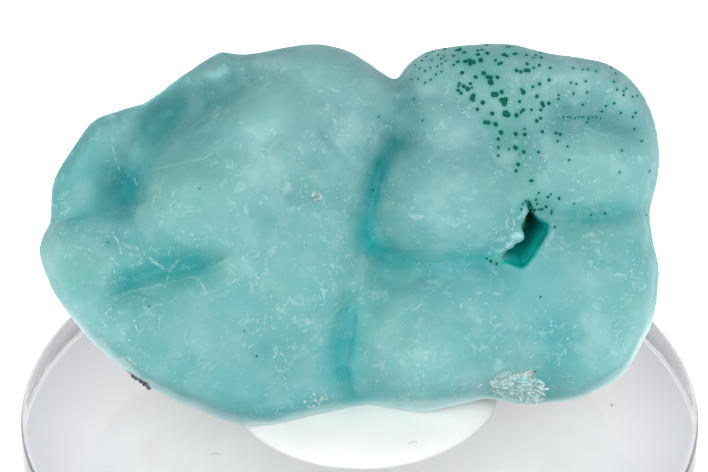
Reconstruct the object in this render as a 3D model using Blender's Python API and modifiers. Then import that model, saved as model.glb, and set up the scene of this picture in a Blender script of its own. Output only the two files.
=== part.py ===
"""Zincolibethenite on smithsonite, leaning on mineral tack on a clear acrylic base.

The stone is a lobed crust of smithsonite, about 46 mm wide, with dark green spherules of
zincolibethenite on its upper right lobe. The origin is the centre of the base's underside,
+Z is up, and the stone's face looks towards -Y. Sizes are in millimetres until an object is
made, and MM turns them into metres.
"""

import math
from typing import NamedTuple

import bmesh
import bpy
import numpy as np
from mathutils import Matrix, Vector, geometry, noise

MM = 0.001

# The acrylic base
STAND_DIAMETER = 50.8
STAND_THICKNESS = 6.35
STAND_CHAMFER = 0.4
STAND_SIDES = 72

# The mineral tack
TACK_RADIUS = 10.3
TACK_HEIGHT = 1.75
TACK_CENTRE = (0.3, 2.2)
TACK_RINGS = 6
TACK_SIDES = 40
TACK_MERGE = 0.01
SEAT_GAP = 0.1

# The stone's face leans back, and its foot line passes over this point
FACE_LEAN = 33.6
FACE_FOOT = (0.0, -2.8, 7.6)

# The broken base that the stone stands on: a plane that rises a little to the right
BASE_TILT = 3.3
BASE_POINT = (-9.0, 0.0, STAND_THICKNESS + 0.3)

# How finely the stone's faces are divided
FRONT_STEP = 0.92
BACK_STEP = 1.5
CROWDING = 0.6
SAME_POINT = 1e-6

# The stone's edge and back
SHOULDER = 1.7
EDGE_THICKNESS = 2.2
BACK_SHARE = 0.93
BODY_THICKNESS = 5.0
HEEL_THICKNESS = 5.5
HEEL_CENTRE = (0.0, 6.0)
HEEL_REACH = (13.0, 7.5)
BREAK_SIZE = 4.5
BREAK_DEPTH = 0.9
RIM_BREAK_SHARE = 0.3

# How softly neighbouring lobes run together, how much of each is a round dome before its
# skirt starts, and the ground between them
LOBE_BLEND = 1.0
DOME_SHARE = 0.8
GROUND = -0.5


class Lobe(NamedTuple):
    """A swelling of the crust, in millimetres on the face; top is how far it stands out."""

    u: float
    v: float
    reach_u: float
    reach_v: float
    turn: float
    top: float
    bulge: float


class Groove(NamedTuple):
    """A crease between lobes, sunk along a route on the face."""

    depth: float
    half_width: float
    route: tuple


class Spherule(NamedTuple):
    """One ball of zincolibethenite, by its place on the face and its radius."""

    u: float
    v: float
    radius: float


# The stone's outline on the face, from the left end over the top and back along the foot
OUTLINE = (
    (-23.9, 12.2), (-23.1, 14.2), (-23.1, 16.5), (-22.4, 18.2), (-21.2, 20.0), (-20.1, 21.5),
    (-18.9, 22.2), (-16.6, 22.9), (-15.3, 23.7), (-13.5, 25.0), (-10.9, 26.6), (-10.4, 26.9),
    (-8.8, 26.6), (-5.8, 27.1), (-3.2, 27.4), (-0.6, 26.8), (1.2, 25.6), (2.7, 24.7),
    (3.3, 25.6), (4.9, 26.8), (7.8, 27.3), (11.2, 27.4), (14.0, 26.7), (17.0, 26.3),
    (19.5, 25.4), (21.5, 23.0), (22.2, 20.4), (22.3, 18.0), (21.7, 15.0), (21.8, 12.9),
    (22.3, 10.3), (21.9, 7.0), (21.2, 5.4), (19.8, 3.0), (18.0, 1.7), (15.9, 0.8),
    (12.2, 0.4), (9.6, 0.9), (8.0, 0.6), (5.1, 0.0), (2.5, 0.1), (0.9, 0.4), (-1.8, 0.0),
    (-3.4, -0.4), (-5.9, -1.0), (-8.8, -1.1), (-11.8, -0.1), (-15.6, 1.7), (-19.0, 4.3),
    (-21.0, 6.3), (-23.1, 9.4),
)

LOBES = {
    "left nose": Lobe(-11.8, 16.2, 5.2, 4.0, 20, 5.4, 3.2),
    "left ridge": Lobe(-7.0, 20.6, 4.8, 3.8, 20, 5.0, 3.2),
    "left top": Lobe(-1.8, 23.2, 5.0, 3.6, -30, 3.8, 3.0),
    "left rim": Lobe(-6.0, 25.0, 5.4, 2.6, 0, 2.6, 2.0),
    "rim bump": Lobe(-10.6, 24.8, 2.2, 1.9, 40, 2.6, 2.0),
    "left shelf": Lobe(-19.6, 19.4, 4.0, 4.6, 30, 1.8, 2.0),
    "left end": Lobe(-20.0, 11.0, 5.4, 4.8, 20, 3.4, 3.0),
    "belly": Lobe(-13.6, 5.6, 9.0, 6.0, -28, 4.8, 3.8),
    "left mass": Lobe(-7.0, 14.4, 8.0, 8.0, 0, 6.0, 4.0),
    "inner cheek": Lobe(-3.6, 11.4, 5.0, 6.4, 10, 5.6, 4.0),
    "inner belly": Lobe(-4.8, 4.6, 7.0, 6.0, 0, 4.6, 3.6),
    "left flank": Lobe(-1.4, 18.4, 4.2, 5.6, 0, 4.4, 3.4),
    "round dome": Lobe(6.2, 15.4, 5.3, 4.9, 0, 6.2, 5.2),
    "dome shoulder": Lobe(9.8, 16.4, 3.6, 4.4, 0, 5.0, 3.8),
    "brow": Lobe(6.8, 21.8, 5.4, 5.4, 0, 3.9, 3.0),
    "right top": Lobe(13.4, 23.8, 7.4, 4.0, 0, 3.0, 2.6),
    "right corner": Lobe(19.0, 22.4, 4.0, 4.2, 0, 2.4, 2.4),
    "right cheek": Lobe(16.8, 18.0, 6.2, 4.4, 0, 4.0, 2.8),
    "right mass": Lobe(17.0, 9.0, 7.0, 8.0, 0, 4.6, 4.0),
    "lower dome": Lobe(5.0, 5.2, 5.6, 5.4, 0, 5.2, 4.6),
    "saddle": Lobe(11.0, 8.2, 6.4, 6.0, 0, 4.4, 3.4),
}

GROOVES = {
    "main cleft": Groove(1.0, 1.3, ((3.0, 24.6), (3.4, 22.6), (2.9, 20.0), (1.7, 18.3),
                                    (0.9, 16.5), (0.4, 14.3), (0.4, 12.6), (1.1, 11.6))),
    "dome foot": Groove(0.5, 1.1, ((1.1, 11.8), (3.0, 11.3), (5.2, 11.1), (7.1, 11.4),
                                   (8.9, 11.1), (10.1, 11.4))),
    "lower cleft": Groove(0.5, 1.4, ((-0.3, 10.5), (-0.7, 8.3), (-1.1, 6.1), (-1.2, 3.5),
                                     (-0.6, 1.2), (0.8, 0.2))),
    "right crease": Groove(0.7, 1.1, ((13.4, 14.4), (14.9, 14.4), (17.1, 14.4), (19.3, 14.7),
                                      (22.0, 15.3))),
    "left crease": Groove(0.6, 0.9, ((-23.4, 13.3), (-21.5, 13.9), (-19.3, 14.6),
                                     (-16.7, 15.4), (-15.8, 16.4))),
    "pocket": Groove(1.2, 1.5, ((-17.8, 16.2), (-17.2, 16.9))),
    "belly valley": Groove(1.1, 1.5, ((-17.4, 9.3), (-15.6, 10.2), (-13.7, 10.6),
                                      (-11.5, 10.8))),
    "rim trough": Groove(1.3, 1.9, ((-17.4, 15.7), (-16.3, 17.6), (-15.2, 19.6),
                                    (-13.7, 21.6), (-11.4, 22.6), (-8.9, 23.3))),
    "upper dip": Groove(0.7, 1.4, ((14.5, 21.8), (16.7, 22.0), (18.6, 21.6), (19.7, 21.1))),
}

# The open vug: its floor, how its outline widens from the floor to the top of the cutter,
# and how far the cutter's top clears the highest lobe
VUG_FLOOR = 1.2
VUG_TAPER = 0.85
VUG_FLARE = 1.1
VUG_CLEARANCE = 2.0
VUG_OUTLINE = (
    (12.3, 15.6), (12.8, 14.6), (13.9, 13.9), (13.8, 13.3), (13.2, 12.3), (12.6, 11.3),
    (11.9, 10.6), (10.9, 11.0), (9.6, 11.4), (10.4, 11.8), (11.1, 12.5), (11.7, 13.2),
    (12.1, 14.4),
)

# Each row is one node: a lone spherule, or the spherules of one group grown together
SPHERULES = (
    ((7.15, 26.85, 0.21), (7.4, 26.7, 0.20), (7.35, 26.95, 0.18)),
    ((7.7, 26.6, 0.19),),
    ((7.2, 25.9, 0.18),),
    ((7.75, 25.9, 0.20), (8.05, 26.0, 0.20), (8.35, 25.85, 0.21), (8.1, 25.65, 0.19)),
    ((8.9, 26.1, 0.19), (8.9, 25.9, 0.20)),
    ((9.0, 26.8, 0.17),),
    ((10.9, 27.0, 0.17), (11.1, 27.1, 0.14)),
    ((10.55, 26.4, 0.18), (10.8, 26.3, 0.18), (10.7, 26.55, 0.15)),
    ((11.4, 26.5, 0.19),),
    ((10.0, 26.0, 0.16),),
    ((10.2, 25.7, 0.17), (10.4, 25.8, 0.17)),
    ((9.1, 25.0, 0.22),),
    ((9.4, 24.7, 0.21), (9.6, 24.7, 0.21)),
    ((9.6, 24.3, 0.26),),
    ((10.1, 24.7, 0.20),),
    ((8.5, 24.7, 0.19),),
    ((8.1, 24.2, 0.17),),
    ((9.8, 23.4, 0.24), (10.0, 23.4, 0.22)),
    ((10.4, 23.6, 0.20),),
    ((10.7, 23.05, 0.22), (10.4, 23.0, 0.22), (10.6, 22.75, 0.24)),
    ((11.85, 23.8, 0.15), (12.0, 23.6, 0.22)),
    ((11.7, 22.9, 0.17),),
    ((10.7, 22.0, 0.29), (10.9, 21.9, 0.22)),
    ((11.5, 21.9, 0.22),),
    ((12.0, 22.3, 0.17), (11.8, 22.1, 0.13)),
    ((12.6, 22.3, 0.15),),
    ((9.7, 22.0, 0.19),),
    ((9.1, 21.3, 0.19), (9.35, 21.3, 0.18)),
    ((9.9, 21.2, 0.20),),
    ((10.3, 20.6, 0.22),),
    ((11.4, 20.5, 0.20),),
    ((12.1, 20.5, 0.19),),
    ((10.1, 20.1, 0.17),),
    ((10.1, 19.5, 0.16),),
    ((11.4, 19.5, 0.24),),
    ((12.0, 19.2, 0.18),),
    ((11.6, 18.3, 0.19),),
    ((12.5, 17.1, 0.15), (12.7, 17.1, 0.13)),
)
SPHERULE_SIDES = 8
SPHERULE_RINGS = 6
SPHERULE_HEIGHT = 0.7
SPHERULE_LIFT = 0.03
ABOVE_THE_CRUST = 20.0


def clear_scene():
    """Empties the file of what it opened with."""
    for obj in list(bpy.data.objects):
        bpy.data.objects.remove(obj)
    for collection in list(bpy.data.collections):
        bpy.data.collections.remove(collection)


def make_collection(name, hidden=False):
    """A collection in the scene; a hidden one holds the cutters."""
    collection = bpy.data.collections.new(name)
    collection.hide_render = hidden
    bpy.context.scene.collection.children.link(collection)
    return collection


def make_material(name, colour, roughness, transmission=0.0, ior=1.5):
    """A Principled material with one colour, given as red, green and blue from 0 to 1."""
    material = bpy.data.materials.new(name)
    material.use_nodes = True
    shader = material.node_tree.nodes["Principled BSDF"]
    shader.inputs["Base Color"].default_value = (*colour, 1.0)
    shader.inputs["Roughness"].default_value = roughness
    shader.inputs["Metallic"].default_value = 0.0
    shader.inputs["Transmission Weight"].default_value = transmission
    shader.inputs["IOR"].default_value = ior
    return material


def make_object(name, bm, collection, material=None):
    """An object from a bmesh, which it frees."""
    mesh = bpy.data.meshes.new(name)
    bm.to_mesh(mesh)
    bm.free()
    if material:
        mesh.materials.append(material)
    obj = bpy.data.objects.new(name, mesh)
    collection.objects.link(obj)
    return obj


def as_cutter(obj):
    """Marks an object as a cutter, which the model leaves out."""
    obj.hide_render = True
    obj.display_type = "WIRE"
    return obj


def add_boolean(obj, other, operation):
    """Cuts an object by another, or joins the other to it."""
    modifier = obj.modifiers.new(f"{operation.title()} {other.name}", "BOOLEAN")
    modifier.operation = operation
    modifier.object = other
    return modifier


def face_matrix():
    """The matrix from the stone's face, where x and y lie on it and z looks out, to the world."""
    return Matrix.Translation(Vector(FACE_FOOT) * MM) @ Matrix.Rotation(
        math.radians(90 - FACE_LEAN), 4, "X"
    )


def closed_spline(points, step):
    """Points about a step apart along a smooth closed line through the given points."""
    line = []
    count = len(points)
    for i in range(count):
        before, start, end, after = (
            Vector(points[(i + k) % count]) for k in (-1, 0, 1, 2)
        )
        parts = max(1, round((end - start).length / step))
        for k in range(parts):
            t = k / parts
            line.append(
                0.5 * (2 * start + (end - before) * t
                       + (2 * before - 5 * start + 4 * end - after) * t * t
                       + (3 * start - before - 3 * end + after) * t ** 3)
            )
    return line


def distance_to_line(points, line):
    """How far each point is from a line of straight runs."""
    nearest = np.full(len(points), np.inf)
    for start, end in zip(line[:-1], line[1:]):
        run = np.subtract(end, start)
        along = np.clip((points - start) @ run / (run @ run), 0, 1)
        gap = points - start - along[:, None] * run
        nearest = np.minimum(nearest, np.hypot(gap[:, 0], gap[:, 1]))
    return nearest


def lobe_height(points, lobe):
    """The height of one lobe's surface: a dome that runs on downwards past its rim."""
    turn = math.radians(lobe.turn)
    du = points[:, 0] - lobe.u
    dv = points[:, 1] - lobe.v
    across = (du * math.cos(turn) + dv * math.sin(turn)) / lobe.reach_u
    up = (dv * math.cos(turn) - du * math.sin(turn)) / lobe.reach_v
    out = across ** 2 + up ** 2
    slope = math.sqrt(1 - DOME_SHARE)
    dome = np.sqrt(np.maximum(1 - out, 1 - DOME_SHARE))
    skirt = slope - (out - DOME_SHARE) / (2 * slope)
    return lobe.top - lobe.bulge + lobe.bulge * np.where(out < DOME_SHARE, dome, skirt)


def front_height(points, rim_line):
    """How far the crust stands out over each point of the face."""
    swell = np.full(len(points), math.exp(GROUND / LOBE_BLEND))
    for lobe in LOBES.values():
        swell += np.exp(lobe_height(points, lobe) / LOBE_BLEND)
    height = LOBE_BLEND * np.log(swell)
    for groove in GROOVES.values():
        away = distance_to_line(points, groove.route) / groove.half_width
        height -= groove.depth / (1 + away ** 2) ** 1.5
    inward = np.clip(distance_to_line(points, rim_line) / SHOULDER, 0, 1)
    return height * np.sqrt(1 - (1 - inward) ** 2)


def back_height(points, rim_line):
    """How far behind the face the broken back lies: thin at the rim, thick at the heel."""
    inward = np.clip(distance_to_line(points, rim_line) / BODY_THICKNESS, 0, 1)
    body = BODY_THICKNESS * np.sqrt(1 - (1 - inward) ** 2)
    heel_u = (points[:, 0] - HEEL_CENTRE[0]) / HEEL_REACH[0]
    heel_v = (points[:, 1] - HEEL_CENTRE[1]) / HEEL_REACH[1]
    heel = HEEL_THICKNESS * np.exp(-heel_u ** 2 - heel_v ** 2) * inward
    rough = np.array([noise.noise(Vector((u, v, 0.0)) / BREAK_SIZE) for u, v in points])
    share = RIM_BREAK_SHARE + (1 - RIM_BREAK_SHARE) * inward
    return -EDGE_THICKNESS - body - heel - BREAK_DEPTH * rough * share


def route_points(step):
    """Points a step apart along every groove, so that triangle edges follow the creases."""
    points = []
    for groove in GROOVES.values():
        for start, end in zip(groove.route[:-1], groove.route[1:]):
            parts = max(1, round(math.dist(start, end) / step))
            for k in range(parts):
                points.append(np.add(start, np.subtract(end, start) * k / parts))
        points.append(np.array(groove.route[-1]))
    return np.array(points)


def thinned(points, gap):
    """The points in order, without any that lies within the gap of one already kept."""
    kept = []
    for point in points:
        if all(math.dist(point, other) > gap for other in kept):
            kept.append(point)
    return np.array(kept)


def fill_points(rim_line, step, first):
    """Staggered rows of points inside a closed line, which give way to the first points."""
    low = np.min(rim_line, axis=0)
    high = np.max(rim_line, axis=0)
    row_gap = step * math.sqrt(3) / 2
    rows = []
    for row in range(int((high[1] - low[1]) / row_gap) + 1):
        start = low[0] + step * (0.5 if row % 2 else 0.0)
        across = np.arange(start, high[0], step)
        rows.append(np.column_stack([across, np.full(len(across), low[1] + row * row_gap)]))
    points = thinned(np.concatenate([first, *rows]), CROWDING * step)
    closed_line = [*rim_line, rim_line[0]]
    points = points[distance_to_line(points, closed_line) > CROWDING * step]
    return np.array([p for p in points if is_inside(p, rim_line)])


def is_inside(point, line):
    """Whether a point lies inside a closed line, by counting the runs to its right."""
    inside = False
    for start, end in zip(line, [*line[1:], line[0]]):
        if (start[1] > point[1]) != (end[1] > point[1]):
            cross = start[0] + (point[1] - start[1]) * (end[0] - start[0]) / (end[1] - start[1])
            inside ^= cross > point[0]
    return inside


def add_sheet(bm, rim, rim_line, step, height, first, flip):
    """Fills a closed ring of vertices with triangles, raised by a height function."""
    inner = fill_points(rim_line, step, first)
    closed_line = [*rim_line, rim_line[0]]
    tops = height(inner, closed_line)
    verts = rim + [bm.verts.new((u, v, n)) for (u, v), n in zip(inner, tops)]
    flat = [Vector(p) for p in rim_line] + [Vector(p) for p in inner]
    edges = [(i, (i + 1) % len(rim)) for i in range(len(rim))]
    only_inside = 1
    filled = geometry.delaunay_2d_cdt(flat, edges, [], only_inside, SAME_POINT)
    _, _, triangles, originals, _, _ = filled
    for triangle in triangles:
        corners = [verts[originals[i][0]] for i in triangle]
        bm.faces.new(reversed(corners) if flip else corners)


def build_stone(parts, cutters, material):
    """The smithsonite: a lobed front and a broken back, with the vug and the base cut."""
    rim_line = [tuple(p) for p in closed_spline(OUTLINE, FRONT_STEP)]
    middle = np.mean(rim_line, axis=0)
    back_line = [tuple(middle + BACK_SHARE * (np.array(p) - middle)) for p in rim_line]
    bm = bmesh.new()
    rim = [bm.verts.new((u, v, 0.0)) for u, v in rim_line]
    back_rim = [bm.verts.new((u, v, -EDGE_THICKNESS)) for u, v in back_line]
    creases = route_points(FRONT_STEP)
    no_creases = np.empty((0, 2))
    add_sheet(bm, rim, rim_line, FRONT_STEP, front_height, creases, flip=False)
    add_sheet(bm, back_rim, back_line, BACK_STEP, back_height, no_creases, flip=True)
    for i in range(len(rim)):
        k = (i + 1) % len(rim)
        bm.faces.new((rim[k], rim[i], back_rim[i], back_rim[k]))
    bmesh.ops.recalc_face_normals(bm, faces=bm.faces)
    bmesh.ops.scale(bm, vec=(MM, MM, MM), verts=bm.verts)
    stone = make_object("smithsonite", bm, parts, material)
    stone.matrix_world = face_matrix()
    add_boolean(stone, build_vug_cutter(cutters), "DIFFERENCE")
    add_boolean(stone, build_base_cutter(cutters), "DIFFERENCE")
    stone.data.shade_smooth()
    return stone


def build_vug_cutter(cutters):
    """A tapered plug of the vug's outline, from its floor to clear of the crust."""
    bm = bmesh.new()
    middle = Vector(np.mean(VUG_OUTLINE, axis=0))
    mouth = max(lobe.top for lobe in LOBES.values()) + VUG_CLEARANCE
    low, high = (
        [bm.verts.new((*(middle + share * (Vector(p) - middle)), n)) for p in VUG_OUTLINE]
        for share, n in ((VUG_TAPER, VUG_FLOOR), (VUG_FLARE, mouth))
    )
    bm.faces.new(low)
    bm.faces.new(high)
    for i in range(len(low)):
        k = (i + 1) % len(low)
        bm.faces.new((low[i], low[k], high[k], high[i]))
    bmesh.ops.triangulate(bm, faces=bm.faces)
    bmesh.ops.recalc_face_normals(bm, faces=bm.faces)
    bmesh.ops.scale(bm, vec=(MM, MM, MM), verts=bm.verts)
    cutter = as_cutter(make_object("vug_cutter", bm, cutters))
    cutter.matrix_world = face_matrix()
    return cutter


def build_base_cutter(cutters):
    """A block that takes off what lies below the stone's broken base."""
    size = 2 * STAND_DIAMETER
    bm = bmesh.new()
    bmesh.ops.create_cube(bm, size=size * MM)
    cutter = as_cutter(make_object("base_cutter", bm, cutters))
    cutter.matrix_world = (
        Matrix.Translation(Vector(BASE_POINT) * MM)
        @ Matrix.Rotation(-math.radians(BASE_TILT), 4, "Y")
        @ Matrix.Translation((0, 0, -size / 2 * MM))
    )
    return cutter


def evaluated_mesh(obj):
    """A new mesh of an object as its modifiers leave it."""
    graph = bpy.context.evaluated_depsgraph_get()
    return bpy.data.meshes.new_from_object(obj.evaluated_get(graph))


def build_tack(stone, parts, cutters, material):
    """The tack: a low dome pressed down, with the stone's foot printed in its top."""
    bm = bmesh.new()
    profile = []
    for i in range(TACK_RINGS + 1):
        angle = math.radians(90) * i / TACK_RINGS
        profile.append((TACK_RADIUS * math.sin(angle), TACK_HEIGHT * math.cos(angle)))
    verts = [bm.verts.new((r * MM, 0, z * MM)) for r, z in [*profile, (0, 0)]]
    for start, end in zip(verts[:-1], verts[1:]):
        bm.edges.new((start, end))
    tack = make_object("mineral_tack", bm, parts, material)
    tack.location = Vector((*TACK_CENTRE, STAND_THICKNESS + SEAT_GAP)) * MM
    turn = tack.modifiers.new("Turn", "SCREW")
    turn.steps = turn.render_steps = TACK_SIDES
    turn.use_merge_vertices = True
    turn.merge_threshold = TACK_MERGE * MM
    turn.use_normal_calculate = True
    print_mesh = evaluated_mesh(stone)
    stone_print = bpy.data.objects.new("stone_print", print_mesh)
    cutters.objects.link(as_cutter(stone_print))
    stone_print.matrix_world = stone.matrix_world
    grow = stone_print.modifiers.new("Grow", "DISPLACE")
    grow.strength = SEAT_GAP * MM
    grow.mid_level = 0.0
    add_boolean(tack, stone_print, "DIFFERENCE")
    return tack


def build_stand(parts, material):
    """The clear round base, its two rims lightly chamfered."""
    bm = bmesh.new()
    bmesh.ops.create_cone(
        bm,
        cap_ends=True,
        segments=STAND_SIDES,
        radius1=STAND_DIAMETER / 2 * MM,
        radius2=STAND_DIAMETER / 2 * MM,
        depth=STAND_THICKNESS * MM,
    )
    stand = make_object("acrylic_stand", bm, parts, material)
    stand.location = (0, 0, STAND_THICKNESS / 2 * MM)
    bevel = stand.modifiers.new("Chamfer", "BEVEL")
    bevel.width = STAND_CHAMFER * MM
    bevel.segments = 1
    bevel.limit_method = "ANGLE"
    return stand


def add_dome(bm, centre, radius):
    """A flat-bottomed ball of a spherule, standing at a centre on a flat seat."""
    made = bmesh.ops.create_uvsphere(
        bm, u_segments=SPHERULE_SIDES, v_segments=SPHERULE_RINGS, radius=radius * MM
    )
    verts = made["verts"]
    below = [v for v in verts if v.co.z < -SAME_POINT]
    bmesh.ops.delete(bm, geom=below, context="VERTS")
    verts = [v for v in verts if v.is_valid]
    rim = [e for e in bm.edges if e.is_boundary and e.verts[0] in verts]
    bmesh.ops.edgeloop_fill(bm, edges=rim)
    for vert in verts:
        vert.co.z *= SPHERULE_HEIGHT
        vert.co += centre * MM
    bmesh.ops.recalc_face_normals(bm, faces=bm.faces)


def build_spherules(stone, parts, cutters, material):
    """The spherules, each on the crust where it grew; those that overlap are one solid."""
    face = stone.matrix_world
    graph = bpy.context.evaluated_depsgraph_get()
    surface = stone.evaluated_get(graph)
    for number, group in enumerate(SPHERULES, start=1):
        balls = [Spherule(*ball) for ball in group]
        centre_u = sum(ball.u for ball in balls) / len(balls)
        centre_v = sum(ball.v for ball in balls) / len(balls)
        start = Vector((centre_u, centre_v, ABOVE_THE_CRUST)) * MM
        _, place, normal, _ = surface.ray_cast(start, Vector((0, 0, -1)))
        seat = face @ Matrix.Translation(place + normal * SPHERULE_LIFT * MM)
        seat = seat @ Vector((0, 0, 1)).rotation_difference(normal).to_matrix().to_4x4()
        members = []
        for index, ball in enumerate(balls):
            bm = bmesh.new()
            add_dome(bm, Vector((ball.u - centre_u, ball.v - centre_v, 0.0)), ball.radius)
            name = f"zincolibethenite_{number:02d}" if index == 0 else f"ball_{number:02d}_{index}"
            home = parts if index == 0 else cutters
            member = make_object(name, bm, home, material)
            member.matrix_world = seat
            members.append(member)
        for other in members[1:]:
            add_boolean(members[0], as_cutter(other), "UNION")


def main():
    """Builds the whole object."""
    clear_scene()
    parts = make_collection("zincolibethenite_on_smithsonite")
    cutters = make_collection("cutters", hidden=True)
    acrylic = make_material("clear_acrylic", (0.95, 0.95, 0.97), 0.03, 1.0, 1.49)
    putty = make_material("white_mineral_tack", (0.83, 0.84, 0.81), 0.6)
    smithsonite = make_material("smithsonite_crust", (0.16, 0.47, 0.47), 0.45)
    zincolibethenite = make_material("zincolibethenite", (0.0, 0.13, 0.08), 0.35)
    build_stand(parts, acrylic)
    stone = build_stone(parts, cutters, smithsonite)
    bpy.context.view_layer.update()
    build_tack(stone, parts, cutters, putty)
    build_spherules(stone, parts, cutters, zincolibethenite)


main()
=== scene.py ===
"""The looks of zincolibethenite on smithsonite: a lobed blue-green crust on a clear base.

The stone, its spherules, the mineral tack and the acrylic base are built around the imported
frame. Lengths named in millimetres are turned into metres by MM where a mesh is made. Places on
the stone are given on its face: u runs to the right, v up the face and n out towards the viewer.
"""

import logging
import math
from dataclasses import dataclass, field
from enum import Enum
from typing import Any

import bmesh
import bpy
import numpy as np
from mathutils import Matrix, Vector, noise
from mathutils.bvhtree import BVHTree
from mathutils.kdtree import KDTree


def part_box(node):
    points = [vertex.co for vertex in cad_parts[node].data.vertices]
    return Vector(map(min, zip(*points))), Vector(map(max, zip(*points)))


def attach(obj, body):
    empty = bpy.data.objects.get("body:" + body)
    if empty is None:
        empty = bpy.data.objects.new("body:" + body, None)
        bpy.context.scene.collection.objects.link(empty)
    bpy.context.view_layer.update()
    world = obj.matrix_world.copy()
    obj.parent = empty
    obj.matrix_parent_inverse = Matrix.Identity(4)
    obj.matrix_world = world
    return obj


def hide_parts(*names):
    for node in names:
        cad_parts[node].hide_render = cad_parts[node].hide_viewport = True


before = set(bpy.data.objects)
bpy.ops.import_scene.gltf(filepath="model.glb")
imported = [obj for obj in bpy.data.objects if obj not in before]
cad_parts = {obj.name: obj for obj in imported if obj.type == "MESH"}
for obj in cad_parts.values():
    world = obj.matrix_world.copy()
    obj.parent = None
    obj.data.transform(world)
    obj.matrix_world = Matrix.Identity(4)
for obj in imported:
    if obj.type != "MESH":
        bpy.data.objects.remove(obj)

LOG = logging.getLogger("specimen")
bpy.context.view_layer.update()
MM = 0.001
Array = np.ndarray
Route = tuple[tuple[float, float], ...]
Tree = bpy.types.NodeTree

# Node types and settings that recur in the materials
NOISE, VORONOI = "ShaderNodeTexNoise", "ShaderNodeTexVoronoi"
RANGE, MIX = "ShaderNodeMapRange", "ShaderNodeMix"
MATH, VECTOR = "ShaderNodeMath", "ShaderNodeVectorMath"
SOFT = {"interpolation_type": "SMOOTHSTEP"}
COLOURS = {"data_type": "RGBA"}
HIGHEST = {"operation": "MAXIMUM"}
PRODUCT = {"operation": "MULTIPLY"}
LESS = {"operation": "SUBTRACT"}


class Slot(Enum):
    """The record's material slots."""

    ACRYLIC = "clear_acrylic"
    TACK = "mineral_tack"
    CRUST = "smithsonite"
    SPHERULE = "zincolibethenite"


class Attr(Enum):
    """The named values that meshes carry for their materials."""

    HOLLOW_AND_SHADE = "hollow"
    PROUD_AND_LIT = "proud"
    FOOT_GLOW = "rim"
    MATRIX = "matrix"
    VUG = "vug"
    STAIN = "stain"
    BROKEN = "broken"
    SPLINTER = "splinter"
    HALO = "halo"
    SHADE = "shade"
    MILK = "milk"


def srgb(code: str) -> tuple[float, float, float, float]:
    """Turns an sRGB hex colour into linear values.

    Args:
        code: The colour as "#RRGGBB".

    Returns:
        Red, green, blue and alpha.
    """
    parts = (int(code[i:i + 2], 16) / 255 for i in (1, 3, 5))
    linear = (c / 12.92 if c <= 0.04045 else ((c + 0.055) / 1.055) ** 2.4 for c in parts)
    return (*linear, 1.0)


def per_size(size_mm: float) -> float:
    """The texture scale that gives a pattern of this size, in millimetres."""
    return 1.0 / (size_mm * MM)


def add(tree: Tree, kind: str, settings: dict[str, Any] | None = None,
        inputs: dict[str | int, Any] | None = None) -> bpy.types.Node:
    """Adds a node, sets it up and links what feeds it.

    Args:
        tree: The tree that the node joins.
        kind: The node's type, such as "ShaderNodeTexNoise".
        settings: The node's own properties.
        inputs: Its sockets, each with a value or with the output that feeds it.

    Returns:
        The node.
    """
    node = tree.nodes.new(kind)
    for name, value in (settings or {}).items():
        setattr(node, name, value)
    for key, value in (inputs or {}).items():
        if isinstance(value, bpy.types.NodeSocket):
            tree.links.new(value, node.inputs[key])
        else:
            node.inputs[key].default_value = value
    return node


def new_material(name: str) -> tuple[bpy.types.Material, Tree, bpy.types.Node]:
    """Starts a Principled material.

    Args:
        name: The material's name.

    Returns:
        The material, its tree and its Principled shader.
    """
    material = bpy.data.materials.new(name)
    material.use_nodes = True
    tree = material.node_tree
    return material, tree, tree.nodes["Principled BSDF"]


def set_shader(shader: bpy.types.Node, values: dict[str, Any]) -> None:
    """Sets plain values on a shader's sockets.

    Args:
        shader: The Principled shader.
        values: Socket names with their values.
    """
    for name, value in values.items():
        shader.inputs[name].default_value = value


def new_object(name: str, mesh: bpy.types.Mesh, material: bpy.types.Material | None = None,
               smooth: bool = True) -> bpy.types.Object:
    """Links a mesh into the scene as an object at the origin.

    Args:
        name: The object's name.
        mesh: Its mesh, placed in the frame.
        material: The one material that it wears.
        smooth: Whether its faces are shaded smooth.

    Returns:
        The object.
    """
    mesh.name = name
    mesh.materials.clear()
    if material:
        mesh.materials.append(material)
    obj = bpy.data.objects.new(name, mesh)
    bpy.context.scene.collection.objects.link(obj)
    if smooth:
        mesh.shade_smooth()
    return obj


def baked(obj: bpy.types.Object) -> bpy.types.Mesh:
    """Turns an object into a plain mesh and removes the object.

    Args:
        obj: An object with modifiers.

    Returns:
        The mesh as the modifiers leave it.
    """
    graph = bpy.context.evaluated_depsgraph_get()
    mesh = bpy.data.meshes.new_from_object(obj.evaluated_get(graph))
    bpy.data.objects.remove(obj)
    return mesh


def finished(bm: bmesh.types.BMesh, name: str) -> bpy.types.Mesh:
    """Turns an edit mesh into a mesh of this name and frees it."""
    mesh = bpy.data.meshes.new(name)
    bm.to_mesh(mesh)
    bm.free()
    return mesh


def cad_shape(node: str, merge: float) -> bmesh.types.BMesh:
    """A CAD node's shape to edit, its points merged within this many millimetres."""
    bm = bmesh.new()
    bm.from_mesh(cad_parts[node].data)
    bmesh.ops.remove_doubles(bm, verts=bm.verts, dist=merge * MM)
    return bm


def read_points(mesh: bpy.types.Mesh, what: str = "co") -> Array:
    """The positions or normals of a mesh's vertices, one row each."""
    values = np.empty(len(mesh.vertices) * 3, np.float32)
    mesh.vertices.foreach_get(what, values)
    return values.reshape(-1, 3).astype(float)


def write_points(mesh: bpy.types.Mesh, points: Array) -> None:
    """Moves a mesh's vertices to new positions."""
    mesh.vertices.foreach_set("co", points.astype(np.float32).ravel())
    mesh.update()


def write_values(mesh: bpy.types.Mesh, name: Attr, values: Array) -> None:
    """Stores one number for each vertex under an attribute's name."""
    attribute = mesh.attributes.new(name.value, "FLOAT", "POINT")
    attribute.data.foreach_set("value", values.astype(np.float32))


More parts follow.
